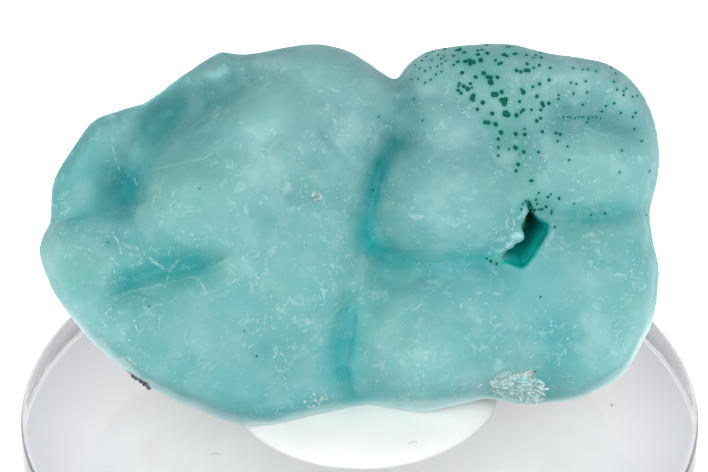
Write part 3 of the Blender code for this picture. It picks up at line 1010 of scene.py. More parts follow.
VUG = Area((
    (12.3, 15.6), (12.8, 14.6), (13.9, 13.9), (13.8, 13.3), (13.2, 12.3), (12.6, 11.3),
    (11.9, 10.6), (10.9, 11.0), (9.6, 11.4), (10.4, 11.8), (11.1, 12.5), (11.7, 13.2),
    (12.1, 14.4),
))
FRESH_BREAK = Area((
    (9.6, 2.1), (10.6, 2.8), (11.8, 3.1), (12.5, 3.0), (13.7, 1.8), (13.6, 0.8), (11.2, 0.6),
))


# The finest spherules: place on the face and radius, in millimetres.
FINE_SPHERULES: tuple[tuple[float, float, float], ...] = (
    (6.3, 26.9, 0.10), (8.7, 26.7, 0.10), (8.7, 26.4, 0.13), (9.4, 26.5, 0.13),
    (9.4, 27.2, 0.09), (6.9, 26.3, 0.09), (11.6, 26.5, 0.07), (12.3, 26.4, 0.09),
    (11.5, 25.2, 0.11), (11.8, 25.1, 0.10), (12.2, 25.2, 0.12), (12.4, 25.2, 0.12),
    (7.5, 25.0, 0.12), (7.6, 24.0, 0.12), (7.9, 23.8, 0.14), (8.2, 23.9, 0.07),
    (7.3, 24.2, 0.09), (7.2, 24.0, 0.07), (7.2, 23.7, 0.10), (7.4, 23.5, 0.10),
    (8.3, 23.3, 0.14), (8.2, 23.1, 0.13), (8.3, 23.0, 0.12), (9.0, 22.8, 0.13),
    (8.6, 22.3, 0.11), (13.0, 23.3, 0.11), (13.4, 22.8, 0.12), (13.9, 22.8, 0.11),
    (13.5, 22.6, 0.10), (13.3, 22.3, 0.10), (13.3, 21.7, 0.09), (13.0, 21.5, 0.12),
    (13.4, 20.7, 0.10), (14.4, 20.6, 0.10), (14.7, 20.5, 0.10), (12.1, 20.9, 0.07),
    (10.1, 18.9, 0.08), (11.4, 17.8, 0.10), (10.9, 19.4, 0.07), (13.1, 19.2, 0.08),
    (13.9, 24.5, 0.10), (13.2, 24.2, 0.10), (12.7, 24.0, 0.08), (14.0, 25.4, 0.08),
    (12.8, 25.4, 0.08), (13.2, 25.6, 0.09), (12.3, 25.7, 0.10), (13.4, 26.2, 0.10),
    (12.8, 26.2, 0.07), (13.0, 26.4, 0.07), (13.4, 26.6, 0.07), (6.0, 26.1, 0.07),
    (6.3, 25.9, 0.07), (6.9, 25.6, 0.08),
    (13.1, 16.2, 0.07), (14.0, 16.1, 0.07), (13.8, 15.9, 0.08), (14.6, 15.8, 0.09),
    (12.9, 15.7, 0.08), (13.0, 15.4, 0.08), (13.7, 15.2, 0.09), (13.2, 15.0, 0.07),
    (13.4, 15.0, 0.08), (14.1, 14.9, 0.07), (14.1, 14.7, 0.07), (14.3, 13.7, 0.07),
    (11.9, 15.4, 0.07), (12.1, 15.6, 0.07), (11.8, 15.0, 0.07), (9.6, 11.2, 0.09),
    (10.0, 11.0, 0.08), (9.3, 11.4, 0.07),
    (15.7, 25.4, 0.07), (16.4, 25.3, 0.07), (16.8, 25.3, 0.07), (17.4, 25.2, 0.07),
    (18.6, 25.5, 0.07), (18.9, 25.1, 0.07), (18.7, 24.4, 0.07), (18.9, 23.8, 0.07),
    (19.4, 23.7, 0.07), (19.6, 23.9, 0.07), (19.4, 23.4, 0.07), (20.1, 23.3, 0.07),
    (20.5, 23.4, 0.07), (15.5, 24.3, 0.07), (15.9, 24.2, 0.07), (16.6, 24.4, 0.07),
    (15.7, 23.5, 0.07), (16.7, 23.6, 0.07), (14.6, 23.4, 0.07), (14.6, 23.1, 0.07),
    (16.4, 22.7, 0.07), (18.1, 22.6, 0.07), (18.7, 22.8, 0.07), (17.8, 22.2, 0.07),
    (19.2, 22.1, 0.07), (20.3, 22.1, 0.07), (20.1, 21.8, 0.07), (15.0, 21.8, 0.06),
    (15.3, 21.8, 0.05), (15.5, 21.8, 0.05), (15.8, 21.7, 0.06), (16.1, 21.8, 0.05),
    (16.4, 21.8, 0.06), (16.8, 21.7, 0.06), (17.1, 21.8, 0.05), (17.4, 21.8, 0.06),
    (17.7, 21.7, 0.05), (16.7, 21.4, 0.07), (14.5, 20.0, 0.07), (15.2, 19.6, 0.07),
    (15.3, 18.6, 0.07), (19.0, 17.7, 0.06), (20.2, 20.9, 0.07), (20.7, 20.0, 0.07),
    (19.2, 19.3, 0.06), (21.3, 17.8, 0.07), (15.7, 15.4, 0.06), (17.0, 14.6, 0.06),
    (18.0, 14.7, 0.07), (21.2, 14.6, 0.06),
    (6.0, 25.1, 0.06), (3.8, 24.6, 0.06), (4.3, 24.6, 0.06), (4.8, 24.3, 0.06),
    (4.0, 23.1, 0.06), (4.6, 21.5, 0.06), (1.4, 21.8, 0.06), (1.0, 16.4, 0.06),
    (4.1, 25.7, 0.06), (4.6, 26.0, 0.06), (4.9, 26.3, 0.06), (5.3, 26.0, 0.06),
    (5.2, 25.4, 0.06), (5.7, 25.5, 0.06), (5.8, 26.4, 0.06), (6.0, 25.7, 0.06),
    (4.8, 25.2, 0.06), (5.4, 26.7, 0.06), (5.0, 26.6, 0.06), (4.4, 25.4, 0.06),
    (5.6, 24.9, 0.06), (5.2, 24.5, 0.06), (6.2, 26.3, 0.06),
    (-18.5, 12.6, 0.05), (-15.4, 7.9, 0.05), (-8.4, 6.1, 0.05), (-7.5, 4.3, 0.06),
    (-11.6, 16.5, 0.05), (13.2, 8.6, 0.06), (12.9, 3.1, 0.06),
)
SPHERULE_NODES = sorted(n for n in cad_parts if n.startswith("zincolibethenite_"))


@dataclass
class Stone:
    """The smithsonite: the CAD stone, divided finely and given its real surface."""

    node: str = "smithsonite"
    weld: float = 0.002
    bead_rounds: int = 3
    voxel: float = 0.17
    share_kept: float = 0.6
    evening: int = 36
    least_evening: int = 5
    hollow_evening: int = 240
    hollow_depth: float = 0.95
    proud_height: float = 0.8
    proud_most: float = 0.5
    front_depths: tuple[float, float] = (-3.4, -2.2)
    eased_depths: tuple[float, float] = (-3.0, -2.0)
    relief_depths: tuple[float, float] = (-2.4, -0.4)
    ledge_step: tuple[float, float] = (-0.2, 0.35)
    crust_lumps: tuple[Lumps, ...] = (Lumps(0.08, 1.9, 3.0), Lumps(0.03, 0.6, 7.0, 3))
    break_lumps: Lumps = Lumps(0.28, 1.5, 11.0, 5)
    rim_lumps: Lumps = Lumps(0.06, 1.6, 17.0, 2)
    rock_lumps: Lumps = Lumps(0.7, 2.2, 5.0, 3)
    finish: CrustFinish = field(default_factory=CrustFinish)
    swells: tuple[tuple[Patch, float], ...] = (
        (Patch(-7.3, 22.0, 3.8, 2.8, 35), 0.7),
        (Patch(-13.0, 16.2, 3.4, 2.6, 20), 0.7),
        (Patch(-10.4, 24.9, 1.5, 1.3, 40), 0.4),
        (Patch(6.2, 17.0, 5.2, 4.6, 0), 0.45),
        (Patch(6.5, 20.8, 4.4, 2.6, 0), 0.8),
        (Patch(5.2, 3.2, 4.9, 4.6, 0), 0.8),
        (Patch(16.9, 18.6, 4.4, 2.6, 5), 0.4),
        (Patch(-2.9, 24.6, 3.6, 1.8, -25), 0.3),
        (Patch(-1.3, 19.4, 2.2, 2.6, 0), 0.25),
        (Patch(-3.6, 14.0, 2.4, 2.6, 0), 0.2),
        (Patch(18.0, 2.2, 4.6, 4.2, 0), 0.9),
        (Patch(-9.0, 1.6, 5.0, 2.6, -20), 0.3),
        (Patch(2.9, 10.7, 1.9, 1.5, 0), 0.6),
        (Patch(10.15, 3.5, 0.5, 0.7, 10), 0.22),
        (Patch(-14.4, 22.0, 2.4, 1.8, 30), -0.5),
        (Patch(14.2, 8.3, 2.6, 4.4, 10), -0.45),
        (Patch(-17.5, 17.0, 2.2, 2.8, -10), -0.5),
    )
    valleys: tuple[Valley, ...] = (
        Valley(0.45, 1.3, ((3.6, 24.0), (3.4, 22.0), (3.0, 20.0))),
        Valley(-0.45, 1.1, ((-16.0, 17.4), (-15.0, 19.0), (-13.2, 20.3), (-11.0, 21.6),
                            (-8.8, 22.7))),
        Valley(0.6, 0.7, ((2.6, 19.6), (1.6, 18.3), (1.1, 16.5), (0.7, 14.6), (0.6, 13.3))),
        Valley(0.35, 0.8, ((1.3, 11.9), (3.0, 11.3), (5.2, 11.1), (7.1, 11.4), (8.9, 11.1))),
        Valley(0.45, 0.9, ((13.4, 14.8), (14.9, 14.3), (17.1, 14.5))),
        Valley(0.35, 0.9, ((17.1, 14.5), (19.3, 14.8), (21.0, 15.1))),
        Valley(0.8, 2.3, ((-17.4, 17.0), (-16.2, 19.4), (-14.4, 21.9), (-12.2, 23.5),
                          (-9.9, 24.3))),
        Valley(0.7, 1.1, ((-16.6, 9.8), (-15.2, 10.4), (-13.6, 10.8), (-11.8, 11.0))),
        Valley(0.4, 1.1, ((15.2, 22.4), (17.4, 21.8), (19.6, 20.7))),
        Valley(0.6, 1.2, ((-0.8, 8.0), (-1.3, 5.6), (-1.4, 3.4), (-0.6, 1.2))),
        Valley(0.2, 0.8, ((-8.0, 26.6), (-8.2, 25.0), (-6.9, 24.0))),
        Valley(0.15, 0.5, ((-2.8, 20.6), (-1.6, 19.4), (-0.4, 17.9))),
    )
    ledges: tuple[Ledge, ...] = (
        Ledge(0.35, 1.2, ((-23.9, 13.3), (-21.5, 13.9), (-19.3, 14.6), (-16.6, 15.3))),
        Ledge(0.35, 1.0, ((-17.0, 9.0), (-15.0, 9.6), (-13.0, 10.1), (-10.7, 11.0))),
        Ledge(0.35, 0.8, ((3.0, 0.3), (1.4, 0.5), (0.2, 1.0), (-0.5, 2.2), (-0.7, 3.6),
                          (-0.5, 5.2), (-0.3, 6.6))),
    )
    # Creases painted in the hollows' deeper colour: partly the thicker crust's tone, partly
    # painted shade.
    clear: tuple[Valley, ...] = (
        Valley(0.32, 1.7, ((-17.2, 16.4), (-17.0, 17.4))),
        Valley(0.50, 1.1, ((-17.1, 16.5), (-16.9, 17.0))),
        Valley(0.34, 2.2, ((-16.4, 19.2), (-14.5, 21.5), (-12.1, 23.3), (-9.8, 24.4))),
        Valley(0.30, 2.8, ((-13.0, 20.4), (-10.4, 22.0))),
        Valley(0.30, 2.2, ((-21.0, 17.4), (-19.6, 20.6))),
        Valley(0.55, 1.0, ((3.3, 22.4), (3.0, 20.6))),
        Valley(0.40, 0.7, ((2.9, 20.2), (1.6, 18.3))),
        Valley(0.92, 0.65, ((1.6, 18.3), (1.1, 16.5), (0.7, 14.6), (0.6, 13.2), (1.0, 12.4))),
        Valley(0.40, 0.7, ((0.5, 13.6), (0.2, 12.6))),
        Valley(0.45, 0.8, ((1.0, 12.4), (2.6, 11.3), (5.2, 11.0), (7.1, 11.3), (8.9, 11.2))),
        Valley(0.35, 1.0, ((13.6, 14.8), (14.9, 14.3), (17.1, 14.5), (19.3, 14.8))),
        Valley(0.70, 1.2, ((-0.7, 6.8), (-1.2, 4.6), (-1.3, 3.2))),
        Valley(0.40, 1.4, ((-16.6, 9.8), (-15.2, 10.4), (-13.6, 10.8), (-11.8, 11.0))),
        Valley(0.30, 1.8, ((16.4, 21.8), (19.2, 21.0))),
        Valley(0.15, 2.0, ((10.6, 9.8), (13.8, 8.2), (14.4, 5.0))),
        Valley(0.50, 0.7, ((-0.4, 1.0), (1.6, 0.6), (3.0, 0.5))),
        Valley(0.25, 1.0, ((-21.0, 14.2), (-18.4, 14.9))),
        Valley(0.30, 1.4, ((-9.6, 1.4), (-5.9, 0.6), (-3.4, 0.9))),
    )
    # Patches painted paler: partly milky crust, partly painted light on the domes that face the
    # lamps.
    milky: tuple[tuple[Patch, float], ...] = (
        (Patch(-9.8, 18.6, 9.0, 5.2, 35), 0.3),
        (Patch(-8.2, 22.0, 3.6, 2.6, 35), 0.45),
        (Patch(-10.4, 24.8, 1.1, 1.2, 0), 0.55),
        (Patch(-13.0, 15.6, 4.4, 3.0, 20), 0.25),
        (Patch(5.8, 18.2, 4.6, 2.8, 0), 0.12),
        (Patch(5.4, 4.2, 6.6, 4.8, 0), 0.3),
        (Patch(19.4, 3.4, 6.0, 5.0, 0), 0.4),
        (Patch(17.2, 18.4, 5.0, 3.0, 5), 0.3),
        (Patch(10.15, 3.5, 0.5, 0.7, 10), 0.5),
    )
    rim_beads: tuple[Bead, ...] = (
        Bead(12.05, 14.85, 3.7, 0.38), Bead(11.75, 14.45, 3.7, 0.36),
        Bead(11.55, 13.1, 3.8, 0.52), Bead(10.95, 12.5, 3.6, 0.42),
        Bead(10.35, 11.9, 3.3, 0.38),
    )
    vug_roof: float = 3.2
    vug_roof_climb: float = 1.4
    stain_band: Route = ((8.0, 26.5), (9.6, 24.5), (10.8, 22.5), (11.0, 20.0), (12.4, 17.0),
                         (13.2, 15.2))
    stain_reach: float = 1.8
    stain_share: float = 0.35
    green_share: float = 0.4
    green_patch: Patch = Patch(-12.4, 16.6, 4.6, 3.2, 20)
    sliver: Area = Area((
        (-17.6, 3.0), (-17.1, 3.0), (-16.4, 2.6), (-15.5, 2.15), (-15.8, 1.5), (-16.4, 1.9),
        (-17.1, 2.5),
    ))
    sliver_edge: float = 0.1
    break_edge: float = 0.3
    rock_depth: tuple[float, float] = (-3.4, -4.6)
    # How strongly the foot is painted pale: a painted glow of light from the base.
    rim_glow: float = 0.68
    rim_turn: tuple[float, float] = (0.52, 0.05)
    rim_height: tuple[float, float] = (9.5, 4.5)
    vug_sill: Route = ((13.9, 13.9), (13.8, 13.3), (13.2, 12.3), (12.6, 11.3), (11.9, 10.6),
                       (10.9, 11.0), (9.6, 11.4))
    vug_floor: float = 1.2
    vug_sill_top: float = 2.9
    vug_tip: Route = ((10.7, 11.5), (9.8, 11.45))
    vug_neck: Route = ((12.35, 15.5), (12.65, 14.7), (12.1, 13.75))
    vug_sill_reach: float = 1.4
    vug_edge: float = 0.16
    vug_tip_reach: tuple[float, float] = (0.36, 0.12)
    vug_neck_reach: tuple[float, float] = (0.30, 0.12)
    vug_shade: tuple[tuple[Patch, float], ...] = (
        (Patch(13.3, 13.2, 0.9, 1.2, -25), 0.3),
        (Patch(12.4, 14.2, 0.9, 1.5, -20), 0.8),
        (Patch(11.9, 12.9, 0.8, 0.8, 0), 0.4),
        (Patch(11.0, 12.1, 1.2, 0.5, 40), 0.4),
        (Patch(13.3, 14.0, 0.8, 0.8, 0), 0.35),
    )
    vug_milk: Patch = Patch(10.3, 11.5, 0.7, 0.45, 15)
    halo_search: float = 1.0
    halo_reach: float = 0.24
    halo_share: float = 0.5

    def build(self) -> bpy.types.Object:
        """Builds the stone's fine mesh, which stands for the CAD stone.

        Returns:
            The stone.
        """
        mesh = self.refined()
        face = FACE.from_world(read_points(mesh))
        face[:, 2] += self.relief(face) + self.sill(face)
        write_points(mesh, FACE.to_world(face))
        normals = read_points(mesh, "normal")
        write_points(mesh, read_points(mesh) + normals * (self.grain(face) * MM)[:, None])
        self.write_marks(mesh)
        stone = new_object("smithsonite_crust", self.thinned(mesh), self.finish.material())
        report(stone)
        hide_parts(self.node)
        return stone

    def thinned(self, mesh: bpy.types.Mesh) -> bpy.types.Mesh:
        """The mesh with fewer triangles where it is flattest, its marks carried over.

        Args:
            mesh: The dense mesh with its marks.

        Returns:
            The lighter mesh.
        """
        obj = new_object("dense_crust", mesh)
        thin = obj.modifiers.new("Thin", "DECIMATE")
        thin.ratio = self.share_kept
        return baked(obj)

    def refined(self) -> bpy.types.Mesh:
        """The CAD stone with its beads, as one even fine mesh."""
        bm = cad_shape(self.node, self.weld)
        for bead in self.rim_beads:
            matrix = Matrix.Translation(FACE.matrix() @ Vector((bead.u, bead.v, bead.n)))
            bmesh.ops.create_icosphere(bm, subdivisions=self.bead_rounds,
                                       radius=bead.radius * MM, matrix=matrix)
        mesh = evened(finished(bm, "coarse_crust"), self.voxel, self.least_evening)
        face = FACE.from_world(read_points(mesh))
        open_face = smoothstep(face[:, 2], *self.eased_depths) * (1 - VUG.inside(face, 0.5))
        return eased(mesh, self.evening, open_face)

    def relief(self, face: Array) -> Array:
        """How far the swells, valleys and ledges lift the crust off the CAD surface.

        Args:
            face: Each vertex's place on the face.

        Returns:
            One height for each vertex, in millimetres.
        """
        height = np.zeros(len(face))
        for patch, swell in self.swells:
            height += swell * patch.dome(face)
        for valley in self.valleys:
            height -= valley.depth / (1 + valley.away(face) ** 2) ** 1.5
        for ledge in self.ledges:
            away = signed_distance(face, ledge.route)
            step = smoothstep(away, *self.ledge_step) * np.exp(-(away / ledge.reach) ** 2)
            height -= ledge.depth * step
        return height * smoothstep(face[:, 2], *self.relief_depths)

    def sill(self, face: Array) -> Array:
        """How far the vug's floor climbs towards its right and lower edges, in millimetres."""
        near = smoothstep(distance_to_route(face, self.vug_sill), self.vug_sill_reach, 0.1)
        sill = self.vug_floor + (self.vug_sill_top - self.vug_floor) * near
        within = (VUG.inside(face, 0.5) > 0.02) & (face[:, 2] > 0.5)
        return np.where(within & (face[:, 2] < sill), sill - face[:, 2], 0)

    def grain(self, face: Array) -> Array:
        """How far the fine unevenness stands out: lumps in front, a rough break behind."""
        front = smoothstep(face[:, 2], -0.6, 0.8)
        back = smoothstep(face[:, 2], -1.4, -2.6)
        edge = smoothstep(face[:, 2], 0.6, -0.4) * (1 - back)
        lumps = sum(layer.at(face) for layer in self.crust_lumps)
        broken, rim = self.break_lumps.at(face), self.rim_lumps.at(face)
        return front * lumps + back * broken + edge * rim

    def write_marks(self, mesh: bpy.types.Mesh) -> None:
        """Stores what the material needs to know about each vertex."""
        points, normals = read_points(mesh), read_points(mesh, "normal")
        face = FACE.from_world(points)
        front = smoothstep(face[:, 2], *self.front_depths)
        # The hollows' share paints the deeper colour in hollows and along the listed creases:
        # partly the crust's tone, partly painted shade.
        soft = eased(mesh.copy(), self.hollow_evening)
        sunk = np.einsum("ij,ij->i", read_points(soft) - points, normals) / MM
        deep_and_shaded = front * np.clip(sunk / self.hollow_depth, 0, 1)
        for valley in self.clear:
            deep_and_shaded += (1 - deep_and_shaded) * front * valley.depth * np.exp(-(valley.away(face) ** 2))
        # The domes' share paints them paler: partly milky crust, partly painted light.
        proud = gathered(face, np.clip(-sunk / self.proud_height, 0, self.proud_most), self.milky)
        # The foot's share paints a pale glow where the crust turns away from the face, low on the
        # stone.
        turned = smoothstep(read_points(soft, "normal") @ np.array(FACE.out()), *self.rim_turn)
        foot = smoothstep(face[:, 1], *self.rim_height) * turned * front
        vug, tip, neck = self.vug_shares(face, front)
        near = distance_to_route(face, self.stain_band)
        stain = np.maximum(self.stain_share * smoothstep(near, self.stain_reach, 0.2),
                           self.green_share * self.green_patch.plateau(face))
        ragged = face[:, 2] + self.rock_lumps.at(face)
        marks = {
            Attr.HOLLOW_AND_SHADE: deep_and_shaded,
            Attr.PROUD_AND_LIT: front * proud,
            Attr.FOOT_GLOW: foot * self.rim_glow,
            Attr.VUG: vug,
            Attr.STAIN: front * stain,
            Attr.BROKEN: FRESH_BREAK.inside(face, self.break_edge) * front,
            Attr.SHADE: gathered(face, neck, self.vug_shade),
            Attr.MILK: np.maximum(self.vug_milk.plateau(face), tip),
            Attr.HALO: front * self.halo(face),
            Attr.SPLINTER: self.sliver.inside(face, self.sliver_edge) * front,
            Attr.MATRIX: smoothstep(ragged, *self.rock_depth),
        }
        for mark, values in marks.items():
            write_values(mesh, mark, values)

    def vug_shares(self, face: Array, front: Array) -> tuple[Array, Array, Array]:
        """How far each vertex belongs to the vug.

        Args:
            face: Each vertex's place on the face.
            front: How far each vertex lies on the stone's front.

        Returns:
            The share of the whole vug, and those of its tip and its neck.
        """
        inside = np.clip(2 * VUG.inside(face, self.vug_edge), 0, 1)
        low_side = smoothstep(distance_to_route(face, self.vug_sill), 1.0, 0.4)
        roof = self.vug_roof + self.vug_roof_climb * low_side
        inside *= 1 - smoothstep(face[:, 2] - roof, -0.5, 0.0)
        inside *= smoothstep(face[:, 2], 0.0, 0.4)
        tip, neck = (front * smoothstep(distance_to_route(face, route), *reach)
                     for route, reach in ((self.vug_tip, self.vug_tip_reach),
                                          (self.vug_neck, self.vug_neck_reach)))
        return np.maximum.reduce((inside, tip, neck)), tip, neck

    def halo(self, face: Array) -> Array:
        """How green the crust is where spherules root in it: 1 under each, 0 a way off."""
        roots = KDTree(len(FINE_SPHERULES) + len(SPHERULE_NODES))
        sizes = []
        for u, v, radius in FINE_SPHERULES:
            roots.insert((u, v, 0), len(sizes))
            sizes.append(radius)
        for node in SPHERULE_NODES:
            low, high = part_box(node)
            middle = FACE.from_world(np.array([(low + high) / 2]))[0]
            roots.insert((middle[0], middle[1], 0), len(sizes))
            sizes.append((high.x - low.x) / 2 / MM)
        roots.balance()
        share = np.zeros(len(face))
        for index in np.flatnonzero((face[:, 2] > 0) & (face[:, 1] > 10) & (face[:, 0] > 0)):
            found = roots.find_range((face[index, 0], face[index, 1], 0), self.halo_search)
            gap = min((away - sizes[k] for _, k, away in found), default=self.halo_search)
            share[index] = 1 - min(max(gap / self.halo_reach, 0), 1)
        return self.halo_share * share


@dataclass
class Skin:
    """The stone's finished surface, for what sits on it."""

    stone: bpy.types.Object
    reach: float = 20.0
    tree: BVHTree = field(init=False)

    def __post_init__(self) -> None:
        """Reads the surface once."""
        self.tree = BVHTree.FromObject(self.stone, bpy.context.evaluated_depsgraph_get())

    def seat(self, u: float, v: float) -> tuple[Vector, Vector]:
        """The place and the normal of the crust in front of a point of the face."""
        start = FACE.matrix() @ Vector((u, v, self.reach))
        place, normal, _, _ = self.tree.ray_cast(start, -FACE.out())
        return place, normal

    def nearest(self, place: Vector) -> tuple[Vector, Vector]:
        """The place and the normal of the crust nearest to a point of the world."""
        found, normal, _, _ = self.tree.find_nearest(place)
        return found, normal


class Shape(Enum):
    """What a sprinkle is made of."""

    BALL = "GeometryNodeMeshIcoSphere"
    RHOMB = "GeometryNodeMeshCube"


@dataclass
class Sprinkle:
    """Many small grains of one kind, each at its own place, joined in one mesh."""

    name: str
    shape: Shape
    material: bpy.types.Material
    flatness: float = 1.0
    slenderness: float = 1.0
    tumble: float = 0.0
    twist: float = 0.0
    seed: int = 0
    places: list[Vector] = field(default_factory=list)
    facings: list[Vector] = field(default_factory=list)
    sizes: list[float] = field(default_factory=list)

    def put(self, place: Vector, facing: Vector, size: float) -> None:
        """Adds a grain.

        Args:
            place: Its middle, in the world.
            facing: Which way its top looks.
            size: Its radius, or half its side, in millimetres.
        """
        self.places.append(place)
        self.facings.append(facing)
        self.sizes.append(size * MM)

    def build(self, slot: Slot) -> bpy.types.Object:
        """Grows the grains with Geometry Nodes and joins them.

        Args:
            slot: The record's slot for them; not used.

        Returns:
            The joined grains.
        """
        mesh = bpy.data.meshes.new(f"{self.name}_places")
        mesh.from_pydata(self.places, [], [])
        sizes = mesh.attributes.new("size", "FLOAT", "POINT")
        sizes.data.foreach_set("value", self.sizes)
        facings = mesh.attributes.new("facing", "FLOAT_VECTOR", "POINT")
        facings.data.foreach_set("vector", [c for facing in self.facings for c in facing])
        obj = new_object(f"{self.name}_places", mesh, smooth=False)
        modifier = obj.modifiers.new("Grow", "NODES")
        modifier.node_group = self.grow_tree()
        values = {"Flatness": self.flatness, "Slenderness": self.slenderness,
                  "Tumble": self.tumble, "Twist": self.twist, "Seed": self.seed}
        for socket in modifier.node_group.interface.items_tree:
            if socket.name in values:
                modifier[socket.identifier] = values[socket.name]
        grains = new_object(self.name, baked(obj), self.material, self.shape is Shape.BALL)
        report(grains)
        return grains

    def grow_tree(self) -> Tree:
        """The tree that puts one grain at each place, sized and turned by its attributes."""
        tree = bpy.data.node_groups.new(f"grow_{self.name}", "GeometryNodeTree")
        for name, kind in (("Geometry", "Geometry"), ("Flatness", "Float"),
                           ("Slenderness", "Float"), ("Tumble", "Float"), ("Twist", "Float"),
                           ("Seed", "Int")):
            tree.interface.new_socket(name, in_out="INPUT", socket_type=f"NodeSocket{kind}")
        tree.interface.new_socket("Geometry", in_out="OUTPUT", socket_type="NodeSocketGeometry")
        given = add(tree, "NodeGroupInput").outputs
        size = add(tree, "GeometryNodeInputNamedAttribute", {"data_type": "FLOAT"},
                   {"Name": "size"})
        facing = add(tree, "GeometryNodeInputNamedAttribute", {"data_type": "FLOAT_VECTOR"},
                     {"Name": "facing"})
        turned = add(tree, "FunctionNodeAlignRotationToVector", {"axis": "Z"},
                     {"Vector": facing.outputs["Attribute"]})
        random = add(tree, "FunctionNodeRandomValue", {"data_type": "FLOAT_VECTOR"},
                     {0: (-math.pi,) * 3, 1: (math.pi,) * 3, "Seed": given["Seed"]})
        leans = add(tree, "ShaderNodeCombineXYZ", {},
                    {0: given["Tumble"], 1: given["Tumble"], 2: given["Twist"]})
        tumbled = add(tree, VECTOR, PRODUCT,
                      {0: random.outputs[0], 1: leans.outputs[0]})
        rotation = add(tree, "FunctionNodeRotateRotation", {"rotation_space": "LOCAL"},
                       {0: turned.outputs[0], 1: tumbled.outputs[0]})
        length = size.outputs["Attribute"]
        width = add(tree, MATH, PRODUCT,
                    {0: length, 1: given["Slenderness"]}).outputs[0]
        height = add(tree, MATH, PRODUCT,
                     {0: length, 1: given["Flatness"]}).outputs[0]
        stretch = add(tree, "ShaderNodeCombineXYZ", {}, {0: length, 1: width, 2: height})
        grain = add(tree, self.shape.value)
        if self.shape is Shape.BALL:
            grain.inputs["Subdivisions"].default_value = 3
        else:
            grain.inputs["Size"].default_value = (2.0, 2.0, 2.0)
        grown = add(tree, "GeometryNodeInstanceOnPoints", {},
                    {"Points": given["Geometry"], "Instance": grain.outputs["Mesh"],
                     "Rotation": rotation.outputs[0], "Scale": stretch.outputs[0]})
        real = add(tree, "GeometryNodeRealizeInstances", {}, {0: grown.outputs[0]})
        worn = add(tree, "GeometryNodeSetMaterial", {},
                   {"Geometry": real.outputs[0], "Material": self.material})
        add(tree, "NodeGroupOutput", {}, {0: worn.outputs[0]})
        return tree


@dataclass
class Spherules:
    """The balls of zincolibethenite: one piece for each CAD node, and the finest in one mesh."""

    skin: Skin
    finish: SpheruleFinish = field(default_factory=SpheruleFinish)
    sink: float = 0.07
    fine_growth: float = 1.25
    lining: tuple[tuple[float, float, float], ...] = (
        (12.35, 15.45, 0.10), (12.45, 15.15, 0.12), (12.65, 14.85, 0.14), (12.85, 14.95, 0.10),
        (12.15, 14.05, 0.15), (12.05, 13.75, 0.15), (12.25, 13.85, 0.14), (11.90, 13.60, 0.11),
        (12.50, 14.45, 0.12), (12.30, 14.30, 0.12), (12.75, 14.30, 0.10), (11.95, 13.90, 0.12),
    )
    lining_greens: tuple[str, str] = ("#007C5A", "#003A2C")
    merge: float = 0.001
    voxel: float = 0.035
    evening: int = 3
    knobbly: float = 0.02
    knob_size: float = 0.12

    def build(self) -> None:
        """Builds every spherule."""
        material = self.finish.material()
        for name in SPHERULE_NODES:
            self.ball(name, material)
        fine = Sprinkle("fine_spherules", Shape.BALL, material, 0.8)
        lining = Sprinkle("vug_lining", Shape.BALL, self.finish.material(*self.lining_greens))
        for grains, rows, growth in ((fine, FINE_SPHERULES, self.fine_growth),
                                     (lining, self.lining, 1.0)):
            for u, v, radius in rows:
                place, normal = self.skin.seat(u, v)
                grains.put(place, normal, radius * growth)
            grains.build(Slot.SPHERULE)

    def ball(self, name: str, material: bpy.types.Material) -> None:
        """Rounds one CAD spherule and seats it in the crust.

        Args:
            name: The CAD node that it stands for.
            material: The spherules' material.
        """
        mesh = evened(finished(cad_shape(name, self.merge), name), self.voxel, self.evening)
        points = read_points(mesh)
        place, normal = self.skin.nearest(Vector(points.mean(axis=0)))
        low = min((Vector(p) - place).dot(normal) for p in points)
        points -= np.array(normal) * (low + self.sink * MM)
        normals = read_points(mesh, "normal")
        knobs = self.knobbly * MM * noise_of(points / MM, self.knob_size, 2.0)
        points += normals * knobs[:, None]
        write_points(mesh, points)
        ball = new_object(f"{name}_ball", mesh, material)
        report(ball)
        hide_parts(name)


@dataclass(frozen=True)
class Scatter:
    """Grains over an oval of the face: how many, and their sizes in millimetres."""

    patch: Patch
    count: int
    small: float
    large: float


